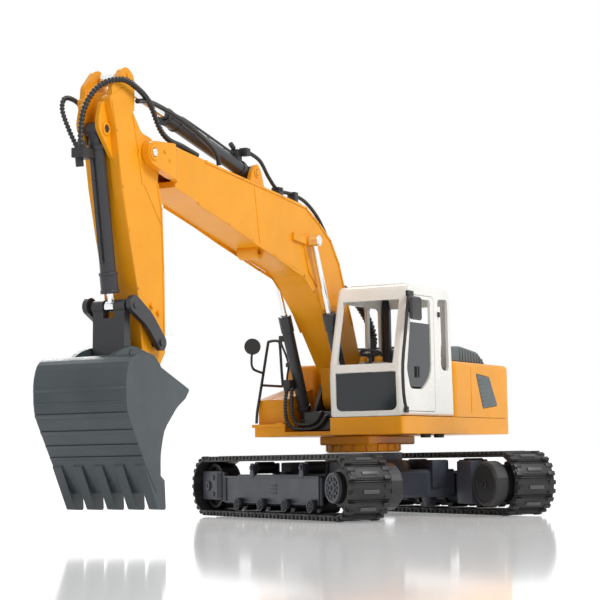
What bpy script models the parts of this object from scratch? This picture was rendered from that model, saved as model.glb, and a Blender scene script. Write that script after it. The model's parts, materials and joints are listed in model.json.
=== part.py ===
"""A radio-controlled crawler excavator at about 1:20, as separate parts at rest.

Lengths are written in millimetres and the helpers turn them into metres. Every part is laid out
about the slew axis: X runs forward along the boom, Y to the machine's left, Z up, with the ground
at zero. The undercarriage has its own axes, u towards its drive sprockets and v across it, and it
stands turned by TRACK_YAW under the upper structure. The slew axis is then placed at SLEW_AXIS, so
that the origin is the middle of the whole machine's box, on the ground.
"""

import math

import bmesh
import bpy
from mathutils import Matrix, Vector

MM = 0.001
WELD = 1e-6
GAP = 0.3

# Where the slew axis stands in the part's frame, and how the undercarriage is turned below it.
SLEW_AXIS = (-95.521, 0.0, 0.0)
TRACK_YAW = math.radians(55.66)

# Undercarriage
TRACK_CENTRE = 62.15
BELT_WIDTH = 30.7
AXLE_HEIGHT = 21.3
HALF_WHEELBASE = 97.3
BELT_OUTER = 21.3
BELT_PAD = 19.2
BELT_INNER = 17.2
BELT_PADS = 46
ROLLER_PLACES = (-48.6, -12.4, 23.8, 60.0)
ROLLER_HEIGHT = 9.0
CARRIER_PLACES = (-29.5, 43.8)
CARRIER_HEIGHT = 34.0
FRAME_FACES = (52.0, 71.0)
FRAME_ENDS = (-75.5, 67.6)

# Upper structure
HALF_WIDTH = 61.0
DECK_BOTTOM = 55.0
DECK_TOP = 66.4
FLOOR_TOP = 58.0
RIGHT_DECK_TOP = 63.3
FRONT_LEFT = 65.7
FRONT_RIGHT = 47.0
REAR = -128.0
CAB_RIGHT = 7.9
CAB_REAR = -20.0
HOUSING_TOP = 105.5
RIGHT_BAY = -36.5
WALL = 2.0

# Working equipment: its middle plane, and its pivots as (x, z)
ARM_PLANE = -14.0
BOOM_FOOT = (5.0, 83.0)
BOOM_CYLINDER_BASE = (24.5, 66.0)
BOOM_CYLINDER_PIN = (75.0, 183.6)
BOOM_CYLINDER_OFFSET = 16.9
BOOM_HALF = 12.0
STICK_PIVOT = (269.5, 215.4)
STICK_CYLINDER_BASE = (134.0, 222.6)
STICK_CYLINDER_PIN = (287.0, 256.3)
STICK_HALF = 11.0
BUCKET_CYLINDER_BASE = (304.5, 224.5)
ROCKER_PIVOT = (263.5, 107.0)
ROCKER_TIP = (290.0, 126.6)
BUCKET_PIVOT = (268.0, 91.5)
BUCKET_LINK_PIN = (290.0, 98.0)
BUCKET_HALF = 30.5
EAR_INNER = 11.4


# ---------------------------------------------------------------- helpers


def clear_scene():
    for obj in list(bpy.data.objects):
        bpy.data.objects.remove(obj)


def new_collection(name):
    collection = bpy.data.collections.new(name)
    bpy.context.scene.collection.children.link(collection)
    return collection


def empty(name, location, yaw=0.0):
    obj = bpy.data.objects.new(name, None)
    obj.location = Vector(location) * MM
    obj.rotation_euler.z = yaw
    PARTS.objects.link(obj)
    return obj


def material(name, colour, roughness, metallic=0.0):
    made = bpy.data.materials.new(name)
    made.use_nodes = True
    shader = made.node_tree.nodes["Principled BSDF"]
    shader.inputs["Base Color"].default_value = (*colour, 1.0)
    shader.inputs["Roughness"].default_value = roughness
    shader.inputs["Metallic"].default_value = metallic
    return made


def loose(mesh):
    """A working piece, which a node or a Boolean takes up later."""
    obj = bpy.data.objects.new("working_piece", mesh)
    WORKSHOP.objects.link(obj)
    return obj


def from_bmesh(bm, turn_out=True):
    if turn_out:
        bmesh.ops.recalc_face_normals(bm, faces=bm.faces)
    if turn_out and bm.calc_volume(signed=True) < 0:
        bmesh.ops.reverse_faces(bm, faces=bm.faces)
    mesh = bpy.data.meshes.new("working_mesh")
    bm.to_mesh(mesh)
    bm.free()
    return loose(mesh)


def baked(obj, turn_out=True):
    """The object's evaluated mesh with its loose caps welded, in place of the object."""
    graph = bpy.context.evaluated_depsgraph_get()
    mesh = bpy.data.meshes.new_from_object(obj.evaluated_get(graph))
    bm = bmesh.new()
    bm.from_mesh(mesh)
    bm.transform(obj.matrix_world)
    bmesh.ops.remove_doubles(bm, verts=bm.verts, dist=WELD)
    bpy.data.objects.remove(obj)
    bpy.data.meshes.remove(mesh)
    return from_bmesh(bm, turn_out)


def block(x, y, z, bevel=0.0, segments=2):
    """A box from its low and high x, y and z."""
    bm = bmesh.new()
    bmesh.ops.create_cube(bm, size=1.0)
    for vert in bm.verts:
        vert.co = Vector([low + (high - low) * (c + 0.5) for (low, high), c in zip((x, y, z), vert.co)]) * MM
    if bevel:
        bmesh.ops.bevel(bm, geom=bm.edges, offset=bevel * MM, segments=segments, profile=0.5, affect="EDGES")
    return from_bmesh(bm)


def bar(start, end, radius, sides=20, end_radius=None):
    """A round bar, or a cone, between two points."""
    start, end = Vector(start) * MM, Vector(end) * MM
    bm = bmesh.new()
    bmesh.ops.create_cone(
        bm,
        cap_ends=True,
        segments=sides,
        radius1=radius * MM,
        radius2=(radius if end_radius is None else end_radius) * MM,
        depth=(end - start).length,
    )
    turn = (end - start).to_track_quat("Z", "Y").to_matrix().to_4x4()
    bm.transform(Matrix.Translation((start + end) / 2) @ turn)
    return from_bmesh(bm)


def cross_bar(centre, y, radius, sides=20):
    """A round bar along Y at an (x, z) centre."""
    return bar((centre[0], y[0], centre[1]), (centre[0], y[1], centre[1]), radius, sides)


def turned(profile, start, end, sides=24):
    """A solid of revolution: (radius, distance from start) pairs, run from the far end back."""
    start, end = Vector(start) * MM, Vector(end) * MM
    mesh = bpy.data.meshes.new("profile")
    points = [(radius * MM, 0.0, along * MM) for radius, along in profile]
    mesh.from_pydata(points, [(i, i + 1) for i in range(len(points) - 1)], [])
    obj = loose(mesh)
    screw = obj.modifiers.new("Screw", "SCREW")
    screw.steps = sides
    screw.render_steps = sides
    screw.use_merge_vertices = True
    screw.merge_threshold = WELD
    turn = (end - start).to_track_quat("Z", "Y").to_matrix().to_4x4()
    obj.matrix_world = Matrix.Translation(start) @ turn
    bpy.context.view_layer.update()
    return baked(obj)


def rounded(corners, step=math.radians(24)):
    """The outline through (a, b) or (a, b, radius) corners, with each radius as an arc."""
    points = []
    count = len(corners)
    for i, corner in enumerate(corners):
        here = Vector(corner[:2])
        radius = corner[2] if len(corner) > 2 else 0.0
        back = Vector(corners[i - 1][:2]) - here
        ahead = Vector(corners[(i + 1) % count][:2]) - here
        half = back.angle(ahead) / 2
        if radius == 0.0 or half > math.radians(89.5):
            points.append(here)
            continue
        reach = min(radius / math.tan(half), 0.49 * back.length, 0.49 * ahead.length)
        radius = reach * math.tan(half)
        first = here + back.normalized() * reach
        centre = here + (back.normalized() + ahead.normalized()).normalized() * (radius / math.sin(half))
        turn = (here + ahead.normalized() * reach - centre).angle_signed(first - centre)
        steps = max(1, math.ceil(abs(turn) / step))
        for k in range(steps + 1):
            points.append(centre + Matrix.Rotation(turn * k / steps, 2) @ (first - centre))
    return points


def extruded(outline, depth):
    """A flat outline as a 2D curve, given half its thickness each way, as a mesh."""
    curve = bpy.data.curves.new("outline", "CURVE")
    curve.dimensions = "2D"
    curve.fill_mode = "BOTH"
    curve.extrude = depth / 2 * MM
    spline = curve.splines.new("POLY")
    spline.points.add(len(outline) - 1)
    for point, place in zip(spline.points, outline):
        point.co = (place[0] * MM, place[1] * MM, 0.0, 1.0)
    spline.use_cyclic_u = True
    return loose(curve)


def side_plate(outline, y):
    """An outline in x and z, between two values of y."""
    obj = extruded(outline, y[1] - y[0])
    stand = Matrix(((1, 0, 0, 0), (0, 0, -1, 0), (0, 1, 0, 0), (0, 0, 0, 1)))
    obj.matrix_world = Matrix.Translation((0, (y[0] + y[1]) / 2 * MM, 0)) @ stand
    bpy.context.view_layer.update()
    return baked(obj)


def front_plate(outline, x):
    """An outline in y and z, between two values of x."""
    obj = extruded(outline, x[1] - x[0])
    stand = Matrix(((0, 0, 1, 0), (1, 0, 0, 0), (0, 1, 0, 0), (0, 0, 0, 1)))
    obj.matrix_world = Matrix.Translation(((x[0] + x[1]) / 2 * MM, 0, 0)) @ stand
    bpy.context.view_layer.update()
    return baked(obj)


def floor_plate(outline, z):
    """An outline in x and y, between two values of z."""
    obj = extruded(outline, z[1] - z[0])
    obj.matrix_world = Matrix.Translation((0, 0, (z[0] + z[1]) / 2 * MM))
    bpy.context.view_layer.update()
    return baked(obj)


def inset(outline, distance):
    """The outline moved inwards by a distance, for the inside of a wall."""
    area = sum(a.x * b.y - b.x * a.y for a, b in zip(outline, outline[1:] + outline[:1]))
    inward = 1.0 if area > 0 else -1.0
    moved = []
    for i, here in enumerate(outline):
        first = (here - outline[i - 1]).normalized()
        second = (outline[(i + 1) % len(outline)] - here).normalized()
        normal = Vector((-first.y - second.y, first.x + second.x)).normalized() * inward
        lean = max(0.35, normal.dot(Vector((-first.y, first.x)) * inward))
        moved.append(here + normal * distance / lean)
    return moved


def eased(outline, span, ease, upright=False, low_too=True):
    """An outline between two depths, whose end edges are rounded off by an ease.

    The outline is in x and y with its depth along z, or upright in x and z with its depth along y.
    """
    low, high = span
    turns = [math.radians(degrees) for degrees in (0, 35, 65, 90)]
    levels = [(high - ease * (1 - math.sin(turn)), ease * (1 - math.cos(turn))) for turn in turns]
    if low_too:
        levels = [(low + high - depth, shrink) for depth, shrink in reversed(levels)] + levels
    else:
        levels = [(low, 0.0)] + levels
    bm = bmesh.new()
    rows = []
    for depth, shrink in levels:
        ring = inset(outline, shrink) if shrink else outline
        places = [(p.x, depth, p.y) if upright else (p.x, p.y, depth) for p in ring]
        rows.append([bm.verts.new(Vector(place) * MM) for place in places])
    count = len(outline)
    for lower, upper in zip(rows, rows[1:]):
        for k in range(count):
            bm.faces.new((lower[k], lower[(k + 1) % count], upper[(k + 1) % count], upper[k]))
    bm.faces.new(rows[0])
    bm.faces.new(rows[-1])
    return from_bmesh(bm)


def combine(base, others, operation):
    for other in others:
        change = base.modifiers.new("Boolean", "BOOLEAN")
        change.operation = operation
        change.solver = "EXACT"
        change.object = other
    bpy.context.view_layer.update()
    result = baked(base, turn_out=False)
    for other in others:
        bpy.data.objects.remove(other)
    return result


def union(base, *others):
    return combine(base, others, "UNION")


def cut(base, *others):
    return combine(base, others, "DIFFERENCE")


def common(base, other):
    return combine(base, [other], "INTERSECT")


def softened(obj, width, angle=40.0, segments=1):
    """The edges sharper than an angle bevelled."""
    bevel = obj.modifiers.new("Bevel", "BEVEL")
    bevel.width = width * MM
    bevel.segments = segments
    bevel.limit_method = "ANGLE"
    bevel.angle_limit = math.radians(angle)
    bpy.context.view_layer.update()
    return baked(obj)


def tube(points, radius, steps=3):
    """A closed tube along a smooth curve through the points."""
    smooth = []
    ends = [points[0]] + list(points) + [points[-1]]
    for i in range(1, len(ends) - 2):
        before, here, after, last = (Vector(p) for p in ends[i - 1 : i + 3])
        for k in range(steps):
            t = k / steps
            smooth.append(
                0.5
                * (
                    2 * here
                    + (after - before) * t
                    + (2 * before - 5 * here + 4 * after - last) * t**2
                    + (3 * here - before - 3 * after + last) * t**3
                )
            )
    smooth.append(Vector(points[-1]))
    curve = bpy.data.curves.new("route", "CURVE")
    curve.dimensions = "3D"
    curve.bevel_depth = radius * MM
    curve.bevel_resolution = 1
    curve.use_fill_caps = True
    spline = curve.splines.new("POLY")
    spline.points.add(len(smooth) - 1)
    for point, place in zip(spline.points, smooth):
        point.co = (*(place * MM), 1.0)
    obj = loose(curve)
    bpy.context.view_layer.update()
    return baked(obj)


def node(name, piece, finish, axes, pivot=(0.0, 0.0, 0.0)):
    """Names a finished piece, gives it its material, and puts its origin on its pivot."""
    origin = Vector(pivot) * MM
    mesh = piece.data
    mesh.transform(Matrix.Translation(-origin))
    mesh.name = name
    mesh.materials.clear()
    mesh.materials.append(finish)
    mesh.shade_smooth()
    mesh.set_sharp_from_angle(angle=math.radians(35))
    piece.name = name
    piece.location = origin
    piece.parent = axes
    WORKSHOP.objects.unlink(piece)
    PARTS.objects.link(piece)
    return piece


def at(pivot, y):
    """A pivot's (x, z) as a point at a distance y from the arm's middle plane."""
    return (pivot[0], ARM_PLANE + y, pivot[1])


def arm(low, high):
    """A range across the arm, measured from its middle plane."""
    return (ARM_PLANE + low, ARM_PLANE + high)


def both_sides(low, high):
    """The same range left and right of the arm's middle plane."""
    return (arm(low, high), arm(-high, -low))


# ---------------------------------------------------------------- undercarriage


def across(side, low, high):
    """A range of v on the left (side -1) or right (side +1) of the undercarriage."""
    return tuple(sorted((side * low, side * high)))


def belt_point(distance, radius):
    """The point at a distance along the track's loop, at a radius from its wheels' axles."""
    straight = 2 * HALF_WHEELBASE
    bend = math.pi * BELT_PAD
    distance %= 2 * (straight + bend)
    if distance < straight:
        return Vector((-HALF_WHEELBASE + distance, AXLE_HEIGHT + radius))
    if distance < straight + bend:
        turn = (distance - straight) / BELT_PAD
        return Vector((HALF_WHEELBASE + radius * math.sin(turn), AXLE_HEIGHT + radius * math.cos(turn)))
    if distance < 2 * straight + bend:
        return Vector((HALF_WHEELBASE - (distance - straight - bend), AXLE_HEIGHT - radius))
    turn = (distance - 2 * straight - bend) / BELT_PAD
    return Vector((-HALF_WHEELBASE - radius * math.sin(turn), AXLE_HEIGHT - radius * math.cos(turn)))


def track_belt(side):
    """One closed belt of pads, each with a grouser bar across its middle."""
    pitch = 2 * (2 * HALF_WHEELBASE + math.pi * BELT_PAD) / BELT_PADS
    steps = ((0.34, BELT_PAD), (0.38, BELT_OUTER), (0.62, BELT_OUTER), (0.66, BELT_PAD), (0.34, BELT_INNER))
    bm = bmesh.new()
    edges = []
    for v in across(side, TRACK_CENTRE - BELT_WIDTH / 2, TRACK_CENTRE + BELT_WIDTH / 2):
        rows = []
        for pad in range(BELT_PADS):
            places = [belt_point((pad + share) * pitch, radius) for share, radius in steps]
            rows.append([bm.verts.new(Vector((place.x, v, place.y)) * MM) for place in places])
        for here, ahead in zip(rows, rows[1:] + rows[:1]):
            bm.faces.new(here[:4] + [ahead[0], ahead[4], here[4]])
        edges.append(rows)
    for near, far in zip(*edges):
        for k in range(3):
            bm.faces.new((near[k], near[k + 1], far[k + 1], far[k]))
    for k in range(BELT_PADS):
        after = (k + 1) % BELT_PADS
        for first, second in ((3, 0), (4, 4)):
            corners = (edges[0][k][first], edges[0][after][second], edges[1][after][second], edges[1][k][first])
            bm.faces.new(corners)
    return from_bmesh(bm)


def track_frame(side):
    """The side beam: a channel over the rollers, with arms that hold the idler's axle."""
    inner, outer = FRAME_FACES
    low, high = FRAME_ENDS
    v = across(side, inner, outer)
    beam = softened(block((low, high), v, (8.5, 28.3)), 1.2)
    channel = block((low - 1, high + 1), across(side, inner + 2.2, outer - 2.2), (0, 15.0))
    arms = [
        softened(block((-104.0, low + 2), across(side, *faces), (14.0, 28.3)), 1.0)
        for faces in ((inner, inner + 2.2), (outer - 2.2, outer))
    ]
    posts = [
        block((place - 2, place + 2), across(side, *faces), (28.0, CARRIER_HEIGHT + 2.5))
        for place in CARRIER_PLACES
        for faces in ((53.0, 55.0), (69.0, 71.0))
    ]
    frame = union(beam, *arms, *posts)
    slots = [block((p - 2.0, p + 2.0), across(side, inner - 1, outer + 1), (0, ROLLER_HEIGHT + 2.0)) for p in ROLLER_PLACES]
    idler_bore = cross_bar((-HALF_WHEELBASE, AXLE_HEIGHT), across(side, inner - 1, outer + 1), 2.5, 16)
    carrier_bores = [
        cross_bar((p, CARRIER_HEIGHT), across(side, inner, outer + 1), 1.5, 12) for p in CARRIER_PLACES
    ]
    return cut(frame, channel, idler_bore, *slots, *carrier_bores)


def track_wheel(place, height, side, profile, sides=24):
    """A turned wheel whose profile gives (radius, v), from its outer face to its inner one."""
    start = (place, 0.0, height)
    return turned(profile, start, (place, side, height), sides)


def sprocket(side):
    """A toothed drive wheel with a bolted hub that reaches the outer face of the track."""
    teeth = 15
    outline = []
    for tooth in range(teeth):
        for share, radius in ((-0.3, 14.0), (-0.14, 16.1), (0.14, 16.1), (0.3, 14.0)):
            angle = (tooth + share) * math.tau / teeth
            outline.append(
                Vector((HALF_WHEELBASE + radius * math.cos(angle), AXLE_HEIGHT + radius * math.sin(angle)))
            )
    wheel = side_plate(outline, across(side, 57.0, 67.0))
    hub = track_wheel(
        HALF_WHEELBASE,
        AXLE_HEIGHT,
        side,
        [(0, 78.3), (9.0, 78.3), (10.0, 77.3), (10.0, 73.5), (12.5, 72.5), (12.5, 56.0), (8.0, 55.5), (8.0, 52.0), (3.0, 52.0), (3.0, 46.0), (0, 46.0)],
    )
    return union(wheel, hub)


def undercarriage():
    axes = empty("undercarriage_axes", SLEW_AXIS, TRACK_YAW)
    legs = rounded(
        [
            (-38, -51.6), (-20, -51.6), (-12, -36, 8), (12, -36, 8), (20, -51.6), (38, -51.6),
            (34, -30, 6), (34, 30, 6), (38, 51.6), (20, 51.6), (12, 36, 8), (-12, 36, 8),
            (-20, 51.6), (-38, 51.6), (-34, 30, 6), (-34, -30, 6),
        ]
    )
    carbody = union(
        softened(floor_plate(legs, (12.0, 31.0)), 2.0, 60),
        bar((0, 0, 30), (0, 0, 37.7), 34, 32, 29),
        bar((0, 0, 37), (0, 0, 43.0), 27, 32),
    )
    node("carbody", carbody, STEEL_BLUE, axes)
    for side, word in ((-1, "left"), (1, "right")):
        node(f"track_belt_{word}", track_belt(side), RUBBER, axes)
        node(f"track_frame_{word}", track_frame(side), STEEL_BLUE, axes)
        node(f"sprocket_{word}", sprocket(side), BLACK_PLASTIC, axes, (HALF_WHEELBASE, side * TRACK_CENTRE, AXLE_HEIGHT))
        drive = union(
            turned(
                [(0, 51.6), (12.5, 51.6), (12.5, 45.0), (14.9, 44.0), (14.9, 36.2), (13.7, 35.0), (0, 35.0)],
                (HALF_WHEELBASE, 0, AXLE_HEIGHT),
                (HALF_WHEELBASE, side, AXLE_HEIGHT),
            ),
            block((68.0, 92.0), across(side, 44.0, 51.4), (14.0, 27.5), 1.0, 1),
        )
        bore = cross_bar((HALF_WHEELBASE, AXLE_HEIGHT), across(side, 44.0, 60.0), 3.4, 16)
        node(f"final_drive_{word}", cut(drive, bore), BLACK_PLASTIC, axes)
        idler = track_wheel(
            -HALF_WHEELBASE,
            AXLE_HEIGHT,
            side,
            [(0, 72.3), (2.1, 72.3), (2.1, 68.4), (6.0, 68.4), (7.5, 66.0), (13.2, 66.0), (14.0, 68.4),
             (16.1, 68.4), (16.1, 54.6), (14.0, 54.6), (13.2, 57.0), (7.5, 57.0), (6.0, 54.6), (2.1, 54.6),
             (2.1, 51.0), (0, 51.0)],
        )
        node(f"idler_{word}", idler, BLACK_PLASTIC, axes, (-HALF_WHEELBASE, side * TRACK_CENTRE, AXLE_HEIGHT))
        for number, place in enumerate(ROLLER_PLACES, 1):
            roller = track_wheel(
                place,
                ROLLER_HEIGHT,
                side,
                [(0, 74.6), (3.9, 74.6), (4.5, 73.9), (4.5, 71.4), (1.6, 71.4), (1.6, 68.4), (4.5, 68.4),
                 (4.5, 54.6), (1.6, 54.6), (1.6, 51.0), (0, 51.0)],
                14,
            )
            name = f"track_roller_{word}_{number}"
            node(name, roller, BLACK_PLASTIC, axes, (place, side * TRACK_CENTRE, ROLLER_HEIGHT))
        for number, place in enumerate(CARRIER_PLACES, 1):
            carrier = track_wheel(
                place,
                CARRIER_HEIGHT,
                side,
                [(0, 71.2), (1.1, 71.2), (1.1, 68.6), (4.2, 68.6), (4.2, 55.4), (1.1, 55.4), (1.1, 52.6), (0, 52.6)],
                14,
            )
            name = f"carrier_roller_{word}_{number}"
            node(name, carrier, BLACK_PLASTIC, axes, (place, side * TRACK_CENTRE, CARRIER_HEIGHT))


# ---------------------------------------------------------------- upper structure


def cab_profile(front_shift=0.0, top=154.0, bottom=DECK_TOP + GAP, rear=CAB_REAR):
    """The cab's side view: a nearly upright lower front, and a windscreen that leans back."""
    return rounded(
        [
            (rear, bottom),
            (FRONT_LEFT + front_shift, bottom),
            (67.0 + front_shift, 97.0, 30),
            (52.5 + front_shift, top - 7, 6),
            (50.0 + front_shift, top, 5),
            (rear + 5.5, top, 8),
            (rear + 3.5, top - 8, 6),
        ]
    )


def cab_shell(axes):
    """White moulded cab: a hollow shell with openings for every window and for the door."""
    width = (CAB_RIGHT, HALF_WIDTH)
    outer = eased(cab_profile(), width, 2.6, upright=True)
    inner = side_plate(
        cab_profile(-WALL, 151.5, DECK_TOP + GAP + WALL, CAB_REAR + WALL),
        (CAB_RIGHT + WALL, HALF_WIDTH - WALL),
    )
    shell = cut(outer, inner)
    front = [
        block((40, 80), (13.2, 54.4), (101.0, 143.5)),
        front_plate(rounded([(12.8, 70.3, 4), (56.8, 70.3, 4), (56.8, 95.5, 1), (12.8, 95.5, 1)]), (40, 80)),
    ]
    right_side = side_plate(
        rounded([(10, 101), (56, 101, 4), (52, 118), (45.5, 143, 3), (10, 143, 3)]),
        (CAB_RIGHT - 5, CAB_RIGHT + 5),
    )
    right_rear = side_plate(
        rounded([(-12, 101, 3), (6, 101, 3), (6, 143, 3), (-11, 143, 3)]), (CAB_RIGHT - 5, CAB_RIGHT + 5)
    )
    doorway = side_plate(door_outline(0.0), (HALF_WIDTH - 5, HALF_WIDTH + 5))
    rear_left = side_plate(
        rounded([(-11.5, 97.5, 3), (2.5, 98.5, 5), (1.0, 118), (6.5, 146, 3), (-11, 147, 3)]),
        (HALF_WIDTH - 5, HALF_WIDTH + 5),
    )
    back = block((CAB_REAR - 5, CAB_REAR + 8), (15, 54), (108, 143))
    shell = cut(shell, *front, right_side, right_rear, doorway, rear_left, back)
    node("cab_shell", shell, CAB_WHITE, axes)


def door_outline(shrink):
    """The door's edge in side view, or the opening round it when shrink is zero."""
    corners = rounded(
        [(12.5, 69.5, 2), (60.5, 69.5, 3), (63.0, 97, 20), (51.0, 146.8, 4), (12.5, 147.4, 3)]
    )
    return inset(corners, shrink) if shrink else corners


def cab_door(axes):
    """The door, on the left front, with the opening over its half-height dark pane."""
    panel = side_plate(door_outline(0.35), (HALF_WIDTH - WALL, HALF_WIDTH - 0.1))
    opening = side_plate(
        rounded([(52.9, 84.4, 5), (57.7, 97, 8), (47.8, 144.2, 3), (18.0, 144.8, 3), (18.0, 93.2, 13), (32.8, 84.4, 9)]),
        (HALF_WIDTH - 5, HALF_WIDTH + 5),
    )
    hinge = [bar((13.8, HALF_WIDTH - 0.6, z), (13.8, HALF_WIDTH - 0.6, z + 5), 0.9, 10) for z in (80, 128)]
    node("cab_door", union(cut(panel, opening), *hinge), CAB_WHITE, axes, (13.8, HALF_WIDTH - 0.6, 66.7))
    pane = side_plate(
        rounded([(52.5, 85.2, 5), (56.8, 97, 8), (51.2, 129.2), (18.5, 129.2), (18.5, 93.5, 13), (33.0, 85.2, 9)]),
        (HALF_WIDTH - WALL + 0.3, HALF_WIDTH - 0.8),
    )
    pane = cut(pane, block((0, 80), (40, 80), (129.0, 160)))
    frame = inset_pane(pane)
    node("door_window", frame, DARK_GLASS, axes)


def inset_pane(pane):
    """The pane shrunk a little about its middle, so that it clears the door's opening."""
    centre = Vector((37.5 * MM, 0, 108.0 * MM))
    for vert in pane.data.vertices:
        offset = vert.co - centre
        vert.co = centre + Vector((offset.x * 0.975, offset.y, offset.z * 0.975))
    return pane


def cab(axes):
    cab_shell(axes)
    cab_door(axes)
    lower_glass = front_plate(
        rounded([(13.2, 70.7, 3.6), (56.4, 70.7, 3.6), (56.4, 95.1, 0.8), (13.2, 95.1, 0.8)]), (64.4, 65.6)
    )
    node("front_glass", lower_glass, DARK_GLASS, axes)
    seat = union(
        block((-2, 22), (24, 46), (84, 90), 2, 1),
        block((-8, -1), (24, 46), (84, 118), 2, 1),
        block((-6, -1), (28, 42), (116, 128), 2, 1),
        block((0, 18), (29, 41), (69.2, 85)),
    )
    node("operator_seat", seat, BLACK_PLASTIC, axes)
    consoles = union(
        block((8, 40), (16, 22), (69.2, 97), 1, 1),
        block((8, 40), (48, 54), (69.2, 97), 1, 1),
        block((30, 38), (20, 50), (69.2, 74)),
    )
    node("control_consoles", consoles, GREY_PLASTIC, axes)
    rail_y = HALF_WIDTH + 3.0
    rail = tube(
        [(56, rail_y - 1.6, 146.5), (62, rail_y, 136), (68, rail_y + 1, 120), (73, rail_y + 1, 100), (73, rail_y + 1, 84),
         (69, rail_y, 75), (62.5, rail_y - 1.6, 70)],
        1.1,
    )
    foot_top = block((49.5, 58.5), (HALF_WIDTH + GAP, rail_y - 0.6), (144.6, 148.6), 0.4, 1)
    foot_low = block((61.0, 65.0), (HALF_WIDTH + GAP, rail_y - 0.6), (68.4, 72.4), 0.4, 1)
    mirror = block((46.5, 63.5), (rail_y + 1.5, rail_y + 4.0), (129, 144.5), 1.2, 1)
    stay = block((59.5, 62.5), (rail_y - 0.5, rail_y + 2.5), (134, 139))
    node("grab_rail", union(rail, foot_top, foot_low, mirror, stay), BLACK_PLASTIC, axes)


def housing_outline():
    return rounded(
        [
            (CAB_REAR - GAP - 0.5, HALF_WIDTH, 3.4),
            (REAR, HALF_WIDTH, 10),
            (REAR, -HALF_WIDTH, 10),
            (0.5, -HALF_WIDTH, 6),
            (0.5, RIGHT_BAY, 3.4),
            (-27.0, RIGHT_BAY, 3.4),
            (-27.0, CAB_RIGHT - 0.3, 3.4),
            (CAB_REAR - GAP - 0.5, CAB_RIGHT - 0.3, 3.2),
        ]
    )


def grille_outline(shrink=0.0):
    """The slanted air grille in the housing's side."""
    outline = rounded([(-59.4, 98.0, 1), (-84.7, 96.0, 1), (-99.5, 75.5, 1), (-71.5, 73.0, 1)])
    return inset(outline, shrink) if shrink else outline


def rear_structure(axes):
    """The orange rear housing with its grilles and hood, and what it covers."""
    base = DECK_TOP + GAP
    outer = eased(housing_outline(), (base, HOUSING_TOP), 3.0, low_too=False)
    inner = floor_plate(inset(housing_outline(), WALL + 0.4), (base - 2, HOUSING_TOP - WALL - 0.5))
    shell = cut(outer, inner)
    recess = side_plate(grille_outline(), (HALF_WIDTH - 1.4, HALF_WIDTH + 4))
    node("rear_housing", cut(shell, recess), ORANGE, axes)
    grille = side_plate(grille_outline(0.4), (HALF_WIDTH - 1.0, HALF_WIDTH + 0.2))
    node("air_grille", grille, GREY_PLASTIC, axes)
    hood = rounded(
        [
            (-24.0, HOUSING_TOP + GAP),
            (-24.0, 116.0, 3),
            (-60.0, 118.0, 30),
            (-92.0, 115.0, 14),
            (-107.0, HOUSING_TOP + GAP),
        ]
    )
    node("engine_hood", eased(hood, (-44.0, 50.0), 2.0, upright=True), GREY_PLASTIC, axes)
    node("ballast_weight", block((-113, -97), (-44, 44), (61, 99), 1, 1), CAST_IRON, axes)
    node("battery_pack", block((-92, -62), (-36, 36), (61, 79), 2, 2), BLACK_PLASTIC, axes)


def side_equipment(axes):
    """The toolbox on the right front of the deck, and the handrail with its round mirror."""
    box = side_plate(
        rounded([(1.1, RIGHT_DECK_TOP + GAP), (40.0, RIGHT_DECK_TOP + GAP), (40.0, 80.5, 2), (1.1, 89.0, 2)]),
        (-HALF_WIDTH + 0.5, RIGHT_BAY - 1.2),
    )
    node("toolbox", softened(box, 1.2, 50), ORANGE, axes)
    y = -HALF_WIDTH + 1.5
    hoop = tube(
        [(45.0, y, 64.5), (43.8, y, 72), (40.8, y, 80.5), (33.5, y, 101), (27.2, y, 119), (24.5, y, 122),
         (12.5, y, 123), (9.5, y, 120.5), (7.6, y, 103), (6.0, y, 91.5)],
        1.1,
    )
    rung = bar((36.5, y, 91), (7.0, y, 91), 0.9, 8)
    arm_tube = tube([(34.6, y, 99.5), (46, y, 101.2), (50.0, y, 103.5), (50.7, y, 108), (49.6, y, 114)], 0.9)
    disc = bar((50.2, y + 0.4, 117.3), (48.2, y - 0.2, 117.3), 5.6, 24)
    node("handrail", union(hoop, rung, arm_tube, disc), BLACK_PLASTIC, axes)


def deck(axes):
    """The platform that carries everything above the tracks, and the turntable under it."""
    turntable = union(
        bar((0, 0, 43.3), (0, 0, 49.0), 25.2, 32),
        block((-45.3, 29.3), (-19, 19), (48.6, DECK_BOTTOM - GAP), 0.8, 1),
    )
    node("slew_turntable", turntable, ORANGE, axes)
    outline = rounded(
        [
            (FRONT_LEFT, HALF_WIDTH, 2),
            (REAR, HALF_WIDTH, 10),
            (REAR, -HALF_WIDTH, 10),
            (FRONT_RIGHT, -HALF_WIDTH, 3),
            (FRONT_RIGHT, CAB_RIGHT - 0.3),
            (FRONT_LEFT, CAB_RIGHT - 0.3, 1),
        ]
    )
    slab = floor_plate(outline, (DECK_BOTTOM, DECK_TOP))
    bay = block((-24.0, 80), (RIGHT_BAY, CAB_RIGHT - 0.5), (FLOOR_TOP, 90))
    right_deck = block((0.8, 80), (-80, RIGHT_BAY + 1), (RIGHT_DECK_TOP, 90))
    trough = block((-114, -30), (-55, 55), (FLOOR_TOP, 90))
    cab_well = block((-14, 58), (13, 55), (FLOOR_TOP, 90))
    node("upper_frame", cut(slab, bay, right_deck, trough, cab_well), ORANGE, axes)
    pedestal = block((-14, 40), arm(-11.4, 11.4), (FLOOR_TOP + GAP, 71.6), 0.8, 1)
    cheek = rounded([(-14, 70), (26, 70), (14.5, 86, 4), (11.0, 92.6, 6), (0, 92.6, 7), (-8, 84, 6)])
    cheeks = [side_plate(cheek, y) for y in both_sides(10.0, 12.4)]
    pin = cross_bar(BOOM_FOOT, arm(-13.4, 13.4), 2.4, 16)
    bore = cross_bar(BOOM_CYLINDER_BASE, arm(-14, 14), 2.5, 16)
    node("boom_mount", cut(union(pedestal, *cheeks, pin), bore), BLACK_PLASTIC, axes)


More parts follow.
